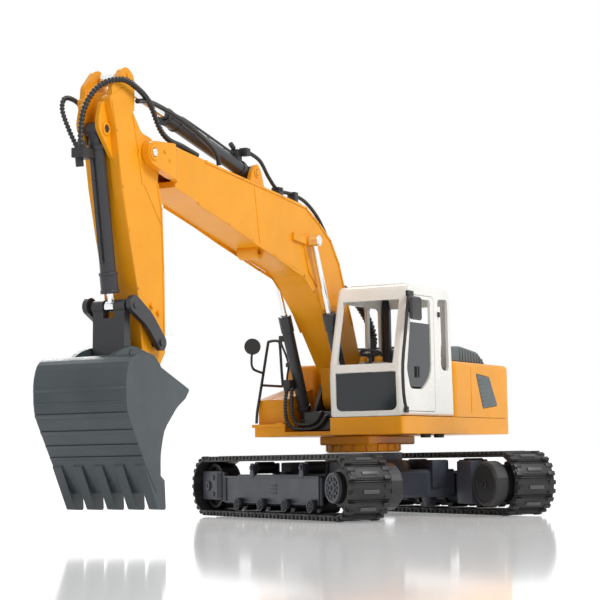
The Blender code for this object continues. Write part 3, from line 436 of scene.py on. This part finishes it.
def track_belt(side, word):
    """Rubber links, each with a cross bar, a middle rib and paired lugs at its ends."""
    kit = Kit()
    bars = Kit()
    pitch = 2 * (2 * HALF_WHEELBASE + math.pi * BELT_PAD) / PADS
    shapes = [
        ((-5.25, 5.25), (-15.3, 15.3), (-1.9, -0.7), 0.3),
        ((-4.1, 4.1), (-14.6, 14.6), (-1.0, 0.5), 0.35),
        ((-3.2, 3.2), (-13.4, 13.4), (0.2, 1.3), 0.4),
        ((-4.3, -1.4), (-15.1, -9.8), (-0.8, 1.85), 0.4),
        ((1.4, 4.3), (-15.1, -9.8), (-0.8, 1.85), 0.4),
        ((-4.3, -1.4), (9.8, 15.1), (-0.8, 1.85), 0.4),
        ((1.4, 4.3), (9.8, 15.1), (-0.8, 1.85), 0.4),
    ]
    for pad in range(PADS):
        place, out = belt_place((pad + 0.5) * pitch, BELT_PAD)
        ahead = Vector((out.y, -out.x))
        columns = [
            under(ahead.x, 0, ahead.y) - under(0, 0, 0),
            under(0, 1, 0) - under(0, 0, 0),
            under(out.x, 0, out.y) - under(0, 0, 0),
        ]
        turn = Matrix(columns).transposed().to_4x4()
        turn = Matrix.Translation(row(under(place.x, side * TRACK_CENTRE, place.y))) @ turn
        for t, v, n, chamfer in shapes:
            kit.block(t, v, n, chamfer, turn)
        bars.block((-1.2, 1.2), (-5.6, 5.6), (0.9, 2.1), 0.35, turn)
    bars.done(f"track_bars_{word}", GREY_BAR_RUBBER, "undercarriage")
    belt = kit.done(f"track_links_{word}", RUBBER, "undercarriage")
    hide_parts(f"track_belt_{word}")


def track_details(side, word):
    """The frame's borders and brackets, and the bolted caps on the wheels."""

    def across(low, high):
        return tuple(sorted((side * low, side * high)))

    def axle(v):
        return under(HALF_WHEELBASE, side * v, AXLE_HEIGHT)

    borders = Kit()
    for z in ((27.1, 28.6), (9.7, 11.0)):
        borders.block((-74.4, 66.6), across(70.6, 71.9), z, 0.3, UNDER)
    for u in ((-74.4, -72.6), (65.0, 66.6)):
        borders.block(u, across(70.6, 71.8), (9.8, 28.4), 0.3, UNDER)
    borders.block((-52.7, 42.3), across(66.0, 71.6), (28.0, 29.5), 0.3, UNDER)
    for z in (16.4, 18.9, 21.4):
        borders.block((-13.0, 6.0), across(70.7, 71.4), (z, z + 1.2), 0.2, UNDER)
    borders.block((-109.2, -77.6), across(71.1, 72.7), (11.4, 32.0), 0.7, UNDER)
    borders.block((-77.8, -74.2), across(69.0, 72.0), (10.4, 31.4), 0.4, UNDER)
    for k in range(4):
        u = -84.6 + 1.9 * k
        borders.block((u, u + 0.8), across(72.4, 73.2), (13.0, 30.4), 0.15, UNDER)
    for u, z in ((-91.0, 27.4), (-91.0, 15.6)):
        borders.bar(under(u, side * 72.3, z), under(u, side * 73.5, z), 1.7, 16, 0.3)
    borders.ring(under(-99.0, side * 72.3, 21.4), under(-99.0, side * 73.9, 21.4), 3.4, 1.5)
    borders.bar(under(-99.0, side * 71.9, 21.4), under(-99.0, side * 73.3, 21.4), 1.7, 6)
    for place in CARRIER_PLACES:
        borders.block((place - 3.0, place + 3.0), across(71.1, 72.4), (27.8, 32.0), 0.4, UNDER)
        borders.block((place - 2.2, place + 2.2), across(71.1, 72.4), (31.4, 37.2), 0.8, UNDER)
        borders.bar(under(place, side * 72.3, 34.0), under(place, side * 73.4, 34.0), 1.6, 14, 0.3)
        borders.block((place - 2.6, place + 2.6), across(51.4, 52.9), (27.8, 37.2), 0.8, UNDER)
    borders.block((62.0, 80.0), across(36.4, 46.3), (8.0, 36.4), 0.9, UNDER)
    borders.block((-36.0, 37.0), across(33.0, 46.3), (18.6, 37.4), 1.2, UNDER)
    borders.block((-36.0, -9.0), across(40.0, 46.3), (9.4, 18.8), 0.6, UNDER)
    borders.block((11.0, 21.5), across(40.0, 46.3), (8.2, 18.8), 0.6, UNDER)
    borders.bar(under(16.2, side * 40.2, 8.6), under(16.2, side * 46.1, 8.6), 4.0, 20, 0.4)
    borders.done(f"frame_borders_{word}", FRAME, "undercarriage")
    drive = Kit()
    drive.ring(axle(35.3), axle(34.4), 13.2, 12.0, 40)
    drive.ring(axle(35.3), axle(34.0), 2.9, 1.3)
    drive.bar(under(88.6, side * 35.3, 22.6), under(88.6, side * 34.3, 22.6), 1.6, 14, 0.3)
    drive.done(f"drive_motor_{word}", BLACK, "undercarriage")
    for number, place in enumerate(ROLLER_PLACES, 1):
        cap = Kit()
        cap.ring(under(place, side * 74.4, ROLLER_HEIGHT), under(place, side * 75.2, ROLLER_HEIGHT), 4.4, 3.4)
        cap.ring(under(place, side * 74.4, ROLLER_HEIGHT), under(place, side * 75.4, ROLLER_HEIGHT), 1.7, 0.8)
        for k in range(6):
            angle = math.tau * k / 6
            u, z = place + 2.6 * math.cos(angle), ROLLER_HEIGHT + 2.6 * math.sin(angle)
            cap.bar(under(u, side * 74.4, z), under(u, side * 75.4, z), 0.65, 8)
        cap.done(f"roller_cap_{word}_{number}", FRAME, f"track_roller_{word}_{number}")
    hub = Kit()
    for top, outer, inner in ((78.8, 9.6, 7.7), (78.9, 3.3, 1.8)):
        hub.ring(axle(78.0), axle(top), outer, inner)
    for k in range(10):
        angle = math.tau * k / 10
        u, z = HALF_WHEELBASE + 5.6 * math.cos(angle), AXLE_HEIGHT + 5.6 * math.sin(angle)
        hub.bar(under(u, side * 78.0, z), under(u, side * 79.0, z), 1.05, 6, 0.15)
    hub.done(f"hub_bolts_{word}", FRAME, f"sprocket_{word}")


def turntable_details():
    """Ribs round the ring below the platform, and two feet under its left edge."""
    ribs = Kit()
    for k in range(20):
        turn = Matrix.Translation(SLEW_AXIS * MM) @ Matrix.Rotation(math.tau * k / 20, 4, "Z")
        ribs.block((24.6, 26.2), (-2.4, 2.4), (44.2, 48.8), 0.3, turn)
    ribs.done("turntable_ribs", ORANGE, "upper_structure")
    feet = Kit()
    for x in (5.5, -17.0):
        feet.bar((x, 50.0, 55.3), (x, 50.0, 52.6), 3.6, 20, 0.5)
    feet.done("platform_feet", BLACK, "upper_structure")


# ---------------------------------------------------------------- working equipment


def arm_point(pivot, y):
    return (pivot[0], ARM_PLANE + y, pivot[1])


def along(start, end, distance, offset=0.0):
    """The (x, z) point at a distance from start towards end, and to the left of that line."""
    lean = (Vector(end) - Vector(start)).normalized()
    return Vector(start) + lean * distance + Vector((-lean.y, lean.x)) * offset


def eye(kit, pivot, y, outer, inner, height=0.8):
    """A raised ring round a pivot on a face at a distance y from the arm's middle."""
    side = 1 if y > 0 else -1
    kit.ring(arm_point(pivot, y - side * 0.2), arm_point(pivot, y + side * height), outer, inner)


def pin_head(kit, pivot, y, radius, height=0.9):
    side = 1 if y > 0 else -1
    kit.bar(arm_point(pivot, y - side * 0.3), arm_point(pivot, y + side * height), radius, 24, 0.3)


def boom_details():
    orange = Kit()
    chrome = Kit()
    clips = Kit()
    left, right = ARM_PLANE + 12.0, ARM_PLANE - 12.0
    top = [
        (205, 219.2), (160, 214.8), (110, 209.9), (76, 206.0), (58, 197.5), (41, 187.5), (29, 172.5),
        (18.5, 150), (9.5, 131.5),
    ]
    low = [(214, 192.8), (178, 184.4), (150, 177.0), (120, 169.8), (98, 164.4)]
    beside_rams = [(98, 164.4), (80, 160.2), (66, 150.6), (52, 138.8), (41, 126.2)]
    for side, face in ((1, left), (-1, right)):
        orange.strip(top, face, 1.6, 0.6, side)
        orange.strip(low, face, 1.8, 0.6, side)
        orange.strip(beside_rams, face, 1.8, 0.1, side)
        orange.strip([(145.5, 211.5), (139.5, 176.5)], face, 0.7, 0.35, side)
        orange.strip([(77.5, 183.5), (94.5, 185.0)], face + side * 0.2, 5.0, 1.5, side)
        eye(orange, STICK_PIVOT, side * 16.4, 4.6, 2.6)
        pin_head(chrome, STICK_PIVOT, side * 17.0, 2.3, 0.5)
        eye(orange, STICK_CYLINDER_BASE, side * 7.7, 3.6, 2.2, 0.6)
        pin_head(orange, STICK_CYLINDER_BASE, side * 8.0, 1.9, 0.5)
        eye(orange, BOOM_FOOT, side * 9.4, 6.0, 3.0, 0.5)
        for place, low_y, high_y in (((258, 217.5), 16.2, 17.2), ((252.5, 213.0), 15.8, 17.0)):
            orange.bar(arm_point(place, side * low_y), arm_point(place, side * high_y), 1.0, 16, 0.2)
        pin_head(chrome, BOOM_CYLINDER_PIN, side * 21.2, 3.0, 0.6)
    clips.block((90, 96), (ARM_PLANE - 3, ARM_PLANE + 3), (208.2, 218.6), 0.5)
    clips.block((69, 74), (ARM_PLANE - 3, ARM_PLANE + 3), (206.5, 218.0), 0.5)
    clips.bar((93, ARM_PLANE - 3.6, 217.2), (93, ARM_PLANE + 3.6, 217.2), 1.4, 14, 0.2)
    orange.block((196, 250), (ARM_PLANE - 8.6, ARM_PLANE + 8.6), (218.0, 221.6), 0.6)
    orange.ring(arm_point((131, 172.5), -7), arm_point((131, 172.5), 7), 5.2, 2.2)
    orange.done("boom_ribs", ORANGE, "boom")
    chrome.done("boom_pin_heads", CHROME, "boom")
    clips.done("hose_clips", BLACK, "boom")


def stick_details():
    orange = Kit()
    left, right = ARM_PLANE + 11.0, ARM_PLANE - 11.0
    back = [(258.0, 199), (253.9, 185), (252.6, 150), (252.4, 105)]
    front = [(303.5, 240), (299.5, 224), (294.2, 193), (288.2, 169), (279.6, 137), (275.8, 104)]
    for side, face in ((1, left), (-1, right)):
        orange.strip(back, face, 1.4, 0.45, side)
        orange.strip(front, face, 1.6, 0.45, side)
        orange.strip([(272, 197), (254.5, 176)], face, 0.6, 0.35, side)
        orange.strip([(283, 236), (274, 197)], face, 0.6, 0.35, side)
        eye(orange, BUCKET_CYLINDER_BASE, side * 7.4, 3.8, 2.3, 0.8)
        eye(orange, STICK_PIVOT, side * 11.0, 9.5, 2.9, 0.35)
        for x, z in ((266.0, 128.0), (259.0, 124.5), (258.0, 110.0)):
            orange.bar((x, face - side * 0.3, z), (x, face + side * 1.6, z), 1.9, 16, 0.5, 1.5)
        boss = (285.6, 257.0)
        orange.bar(arm_point(boss, side * 10.6), arm_point(boss, side * 11.4), 3.0, 20, 0.3)
    orange.done("stick_ribs", ORANGE, "stick")


def ram(name, ends, y, radius, barrel, body, rod_radius):
    """The collars, foot band and hard pipe on the barrel of a ram that lies at y from the arm's middle."""
    kit = Kit()
    proud = COLLAR_BESIDE_BOOM if y else COLLAR

    def at_distance(d, offset=0.0):
        p = along(*ends, d, offset)
        return (p.x, ARM_PLANE + y, p.y)

    kit.ring(at_distance(barrel - 11.5), at_distance(barrel - 9.6), radius + proud, radius - 0.3)
    kit.ring(at_distance(barrel - 1.6), at_distance(barrel + 0.5), radius + proud, rod_radius + 0.3)
    kit.ring(at_distance(8.0), at_distance(11.0), radius + 0.7, radius - 0.3)
    route = [
        at_distance(14.0, radius + 0.5),
        at_distance(17.0, radius + 2.0),
        at_distance(barrel - 22.0, radius + 2.0),
        at_distance(barrel - 18.0, radius + 0.4),
    ]
    kit.hose(route, 0.8, 0.0, 2.0, 10)
    for share in (0.3, 0.5, 0.68):
        d = barrel * share
        kit.bar(at_distance(d, radius - 0.4), at_distance(d, radius + 2.6), 0.9, 10, 0.1)
    kit.done(f"{name}_fittings", RAM, body)


def ram_blocks():
    """Hose unions on the two rams above the stick."""
    kit = Kit()
    kit.block((144.5, 150.5), (ARM_PLANE - 3.0, ARM_PLANE + 3.0), (227.5, 236.0), 0.5)
    kit.block((141.5, 147.0), (ARM_PLANE + 2.0, ARM_PLANE + 7.5), (232.0, 237.0), 0.5)
    kit.bar((150, ARM_PLANE, 236.5), (154, ARM_PLANE, 239.0), 1.6, 16, 0.3)
    kit.done("stick_ram_union", BLACK, "stick_cylinder_barrel")
    kit = Kit()
    kit.block((307.5, 318.6), (ARM_PLANE - 6.6, ARM_PLANE + 1.8), (207.6, 213.2), 0.7)
    kit.bar((313.6, ARM_PLANE - 4.6, 208), (312.9, ARM_PLANE - 4.6, 203.2), 2.3, 16, 0.4)
    kit.bar((313.5, ARM_PLANE - 5.4, 213), (313.5, ARM_PLANE - 5.8, 217.0), 2.0, 16, 0.3)
    kit.bar((317.0, ARM_PLANE + 0.1, 212.6), (317.2, ARM_PLANE + 0.1, 216.5), 2.1, 16, 0.3)
    kit.done("bucket_ram_union", BLACK, "bucket_cylinder_barrel")


def ram_foot():
    """The union and the hard pipe on the right boom ram, whose two hoses hang to the platform."""
    kit = Kit()
    kit.block((36.5, 47.6), (-36.9, -31.8), (87.4, 93.6), 0.6)
    kit.bar((46.2, -34.7, 88), (46.2, -34.8, 85.6), 2.1, 16, 0.3)
    kit.bar((45.0, -31.6, 88), (45.0, -31.4, 85.8), 2.0, 16, 0.3)
    kit.block((47.4, 52.0), (-37.4, -31.6), (119.6, 123.6), 0.6)
    kit.block((39.0, 43.6), (-36.8, -33.0), (102.4, 105.4), 0.5)
    route = [
        (50.0, -36.4, 122.4), (49.4, -36.7, 118.5), (42.6, -36.4, 109.5), (40.6, -36.0, 103.5),
        (41.8, -36.3, 97.5), (44.2, -35.6, 93.4),
    ]
    kit.hose(route, 0.75, 0.0, 2.0, 10)
    kit.done("ram_foot_union", BLACK, "boom_cylinder_right_barrel")


def rams():
    ram_blocks()
    ram_foot()
    for side, word in ((1, "left"), (-1, "right")):
        ends = (BOOM_CYLINDER_BASE, BOOM_CYLINDER_PIN)
        y = side * BOOM_CYLINDER_OFFSET
        ram(f"boom_ram_{word}", ends, y, 4.0, 76.5, f"boom_cylinder_{word}_barrel", 1.9)
    ends = (STICK_CYLINDER_BASE, STICK_CYLINDER_PIN)
    ram("stick_ram", ends, 0.0, 4.6, 99.0, "stick_cylinder_barrel", 2.2)
    ends = (BUCKET_CYLINDER_BASE, ROCKER_TIP)
    ram("bucket_ram", ends, 0.0, 4.5, 91.0, "bucket_cylinder_barrel", 2.0)


def bucket_back(z):
    """How far forward the bucket's outer shell reaches at a height."""
    if z > BUCKET_CORNER_HEIGHT:
        return BUCKET_REACH
    if z > BUCKET_FLAT_HEIGHT:
        return BUCKET_CORNER_MIDDLE + math.sqrt(BUCKET_CORNER**2 - (BUCKET_CORNER_HEIGHT - z) ** 2)
    return BUCKET_FLAT_REACH - (BUCKET_FLAT_HEIGHT - z) * BUCKET_LEAN


def bucket_details():
    kit = Kit()
    ribs = (
        (80.8, 78.2, 0.5), (72.9, 71.5, 0.4), (66.6, 63.8, 0.6), (57.4, 54.6, 0.6), (49.6, 47.4, 0.6),
        (43.2, 41.2, 0.6),
    )
    for top, low, height in ribs:
        corners = [
            (bucket_back(top) - 0.6, top),
            (bucket_back(top) + height, top - 0.3),
            (bucket_back(low) + height, low + 0.3),
            (bucket_back(low) - 0.6, low),
        ]
        kit.plate(corners, (ARM_PLANE - 30.4, ARM_PLANE + 30.4), 0.15)
    for side in (1, -1):
        eye(kit, BUCKET_PIVOT, side * 14.4, 4.6, 2.3, 0.7)
        eye(kit, BUCKET_LINK_PIN, side * 14.4, 4.2, 1.6, 0.7)
        pin_head(kit, BUCKET_LINK_PIN, side * 14.6, 1.9, 0.8)
    kit.done("bucket_wear_strips", BUCKET, "bucket")


# ---------------------------------------------------------------- upper structure


def cab_details():
    white = Kit()
    dark = Kit()
    white.block((-15.0, 44.0), (14.0, 55.0), (153.6, 155.0), 0.6)
    white.done("cab_roof_panel", WHITE, "upper_structure")
    dark.block((38.5, 41.0), (60.9, 62.0), (92.0, 99.5), 0.4)
    dark.block((4.0, 6.5), (60.8, 62.2), (134, 137.5), 0.4)
    # A tall black bar on the inner side of the cab's rear right pillar: painted shade, where the white
    # pillar's inside lies in shadow.
    dark.block((-16.5, -12.5), (10.5, 16.0), (69.0, 151.0), 0.8)
    dark.block((34.0, 40.0), (22.6, 26.0), (75.0, 101.0), 0.6)
    dark.bar((36.5, 24.3, 100.0), (34.5, 24.3, 108.0), 1.6, 16)
    dark.ring((34.8, 24.3, 108.6), (34.3, 24.3, 110.2), 8.0, 6.8)
    dark.block((33.5, 36.0), (17.5, 31.5), (108.4, 109.8), 0.4)
    dark.done("cab_fittings_and_shade_bar", BLACK, "upper_structure")
    consoles = Kit()
    consoles.block((28.0, 40.4), (17.4, 22.0), (88.0, 104.0), 0.8)
    consoles.block((28.0, 40.4), (27.0, 33.8), (88.0, 103.6), 0.8)
    consoles.done("lever_consoles", BEIGE, "upper_structure")
    knobs = Kit()
    for y, z in ((19.8, 103.6), (30.9, 103.2)):
        knobs.bar((37.5, y, z), (37.5, y, z + 4.0), 2.7, 20, 1.1)
    knobs.done("control_knobs", ORANGE, "upper_structure")


def housing_details():
    orange = Kit()
    orange.block((1.2, 47.7), (-61.8, -36.0), (61.4, 63.6), 0.5)
    orange.block((38.0, 47.4), (-43.0, -37.5), (62.8, 64.6), 0.5)
    orange.strip([(-50.5, 70.0), (-50.5, 102.0)], 61.0, 0.6, 0.3, 1)
    orange.done("housing_seams", ORANGE, "upper_structure")
    grille = Kit()
    for k in range(7):
        z = 77.5 + k * 2.9
        shift = (z - 75.5) * 0.66
        grille.strip([(-96.5 + shift * 0.98, z), (-72.5 + shift * 0.55, z - 1.9)], 61.0, 1.1, 0.5, 1)
    grille.done("grille_slats", GREY, "upper_structure")
    hood = Kit()
    for y in (-24, 3, 30):
        hood.block((-86, -34), (y - 10, y + 10), (116.6, 118.2), 0.6)
    for k in range(9):
        x = -58.0 - 5.2 * k
        hood.strip([(x, 106.4), (x + 1.0, 116.2 - 0.1 * k * k)], 49.9, 1.0, 0.5, 1)
    hood.done("hood_panels", GREY, "upper_structure")


# ---------------------------------------------------------------- hoses

ROOT_ROUTE = [
    (-10, 2.8, 60), (-9.5, 2.8, 80), (-7, 2.5, 100), (-8, 1.5, 111), (-17, 0.5, 118), (-21, -1, 126),
    (-16, -2, 136), (-4, -3.5, 147), (6, -5, 153.5), (14.5, -6, 156.5),
]
BOOM_ROUTE = [
    (9.5, -12.5, 146), (5.0, -13, 154), (5.0, -13.5, 164), (14, -14, 182), (32, -14, 202),
    (52, -14, 213), (72, -14, 216.5), (92, -14, 217), (108, -12.0, 223), (124, -9.5, 231.5),
    (141, -8.0, 234.5),
]
STICK_ROUTE = [
    (211, -4.5, 222.6), (228, -4.5, 225.5), (243, -4.0, 227.0), (252.7, -4.0, 232.0),
    (263.2, -3.0, 243.0), (271, -1.5, 247.0), (281, 0.3, 249.6), (292, 0.3, 252.6), (300, -1.5, 252.6),
    (308, -5.0, 249.8), (314.5, -9, 243.0), (319, -12, 232.0), (319.5, -13.5, 218.0),
    (317.0, -14, 212),
]
SECOND_ROUTE = [
    (313.5, -20.0, 214), (315.5, -24.0, 224), (318.0, -26.6, 235), (315.0, -27.0, 242.0),
    (306, -26.9, 242.5), (297, -26.8, 239),
]
SMOOTH_ROUTE = [
    (281, -1.2, 243.5), (266, -3.5, 246.0), (249.3, -5, 245.4), (232, -5.5, 242.8), (215.9, -5, 238.5),
    (200, -4.6, 233), (188.3, -4.2, 226.5), (185.5, -4.2, 219.9),
]
FOOT_ROUTE = [
    (46.2, -34.6, 87), (46.4, -35.9, 78), (46.0, -35.6, 67), (45.3, -32.0, 61.2), (44.8, -26, 59.9),
    (44.0, -18, 59.9), (43.2, -11.5, 62.4), (42.4, -7.8, 67), (40.5, -7, 68),
]
FOOT_SECOND_ROUTE = [
    (45.0, -31.4, 86.5), (45.4, -31.9, 78), (45.2, -31.2, 69), (44.8, -28.4, 63.8), (44.4, -24, 62.9),
    (43.8, -18, 63.1), (43.0, -13.5, 66.0), (41.8, -11.5, 70.0), (40.4, -11.0, 71.0),
]


def hose_piece(name, route, size, body=None):
    """One rubber hose from its route and its (radius, ridge, pitch, sides)."""
    kit = Kit()
    kit.hose(route, *size)
    return kit.done(name, HOSE, body, 60)


def hoses():
    """The hoses, of which those that cross a joint ride on no body."""
    bundle = hose_piece("boom_root_hose_rubber", ROOT_ROUTE, (3.1, 0.95, 3.0, 16))
    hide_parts("boom_root_hose")
    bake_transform(bundle)
    run = hose_piece("boom_hose_rubber", BOOM_ROUTE, (1.3, 0.3, 1.6, 10), "boom")
    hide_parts("boom_hose")
    bend = hose_piece("stick_hose_rubber", STICK_ROUTE, (1.75, 0.6, 2.3, 12))
    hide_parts("stick_hose")
    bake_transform(bend)
    second = hose_piece("stick_second_hose", SECOND_ROUTE, (1.5, 0.5, 2.1, 12))
    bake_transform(second)
    smooth = hose_piece("stick_smooth_hose", SMOOTH_ROUTE, (1.5, 0.0, 2.0, 12))
    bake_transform(smooth)
    foot = hose_piece("ram_foot_hose_rubber", FOOT_ROUTE, (1.5, 0.45, 2.1, 12))
    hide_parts("boom_cylinder_hose")
    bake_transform(foot)
    foot = hose_piece("ram_foot_second_hose", FOOT_SECOND_ROUTE, (1.5, 0.45, 2.1, 12))
    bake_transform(foot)


# ---------------------------------------------------------------- studio


# The camera's place, its (yaw, pitch, roll) in degrees, and its lens
CAMERA_PLACE = (1125.74, 547.35, 40.93)
CAMERA_TURN = (207.86, 5.0, -1.02)
CAMERA_LENS = 107.68


def camera():
    """Low, in front of the machine and to its left, looking back at it."""
    yaw, pitch, roll = (math.radians(angle) for angle in CAMERA_TURN)
    forward = Vector((math.cos(yaw) * math.cos(pitch), math.sin(yaw) * math.cos(pitch), math.sin(pitch)))
    right = Vector((math.sin(yaw), -math.cos(yaw), 0.0))
    up = right.cross(forward)
    side = right * math.cos(roll) + up * math.sin(roll)
    top = up * math.cos(roll) - right * math.sin(roll)
    data = bpy.data.cameras.new("camera")
    data.lens = CAMERA_LENS
    data.sensor_width = 36.0
    obj = bpy.data.objects.new("camera", data)
    turn = Matrix((side, top, -forward)).transposed().to_4x4()
    obj.matrix_world = Matrix.Translation(row(CAMERA_PLACE)) @ turn
    bpy.context.scene.collection.objects.link(obj)
    bpy.context.scene.camera = obj


def area_light(name, place, target, size, power, colour=(1.0, 1.0, 1.0)):
    data = bpy.data.lights.new(name, "AREA")
    data.shape = "DISK"
    data.size = size
    data.energy = power
    data.color = colour
    obj = bpy.data.objects.new(name, data)
    obj.location = place
    obj.rotation_euler = (Vector(target) - Vector(place)).to_track_quat("-Z", "Y").to_euler()
    bpy.context.scene.collection.objects.link(obj)


def studio():
    bpy.context.scene.view_settings.view_transform = "Standard"
    world = bpy.data.worlds.new("studio")
    world.use_nodes = True
    nodes = world.node_tree.nodes
    links = world.node_tree.links
    nodes["Background"].inputs["Color"].default_value = (1.0, 1.0, 1.0, 1.0)
    nodes["Background"].inputs["Strength"].default_value = 0.4
    backdrop = nodes.new("ShaderNodeBackground")
    backdrop.inputs["Color"].default_value = (1.0, 1.0, 1.0, 1.0)
    backdrop.inputs["Strength"].default_value = 1.0
    seen = nodes.new("ShaderNodeLightPath")
    choice = nodes.new("ShaderNodeMixShader")
    direct = nodes.new("ShaderNodeMath")
    direct.operation = "MAXIMUM"
    links.new(seen.outputs["Is Camera Ray"], direct.inputs[0])
    links.new(seen.outputs["Is Glossy Ray"], direct.inputs[1])
    links.new(direct.outputs["Value"], choice.inputs["Fac"])
    links.new(nodes["Background"].outputs["Background"], choice.inputs[1])
    links.new(backdrop.outputs["Background"], choice.inputs[2])
    links.new(choice.outputs["Shader"], nodes["World Output"].inputs["Surface"])
    bpy.context.scene.world = world
    bm = bmesh.new()
    bmesh.ops.create_circle(bm, cap_ends=True, radius=30.0, segments=64)
    floor = bpy.data.objects.new("studio_floor", mesh_of(bm, "studio_floor"))
    floor.location.z = -0.0005
    shader = Shader("studio_floor", (0.93, 0.93, 0.93), 0.08)
    shader.base.inputs["Emission Color"].default_value = (1.0, 1.0, 1.0, 1.0)
    shader.base.inputs["Emission Strength"].default_value = 0.22
    shader.base.inputs["Specular IOR Level"].default_value = 0.75
    floor.data.materials.append(shader.material)
    bpy.context.scene.collection.objects.link(floor)
    area_light("key_light", (0.3, 1.7, 1.9), (0, 0, 0.1), 0.9, 37.0)
    area_light("fill_light", (2.2, 0.2, 1.0), (0.1, 0, 0.1), 1.2, 3.0)
    area_light("rim_light", (-1.2, -1.2, 1.6), (0, 0, 0.1), 1.0, 14.0)


for side, word in ((-1, "left"), (1, "right")):
    track_belt(side, word)
    track_details(side, word)
turntable_details()
boom_details()
stick_details()
rams()
bucket_details()
cab_details()
housing_details()
hoses()
camera()
studio()
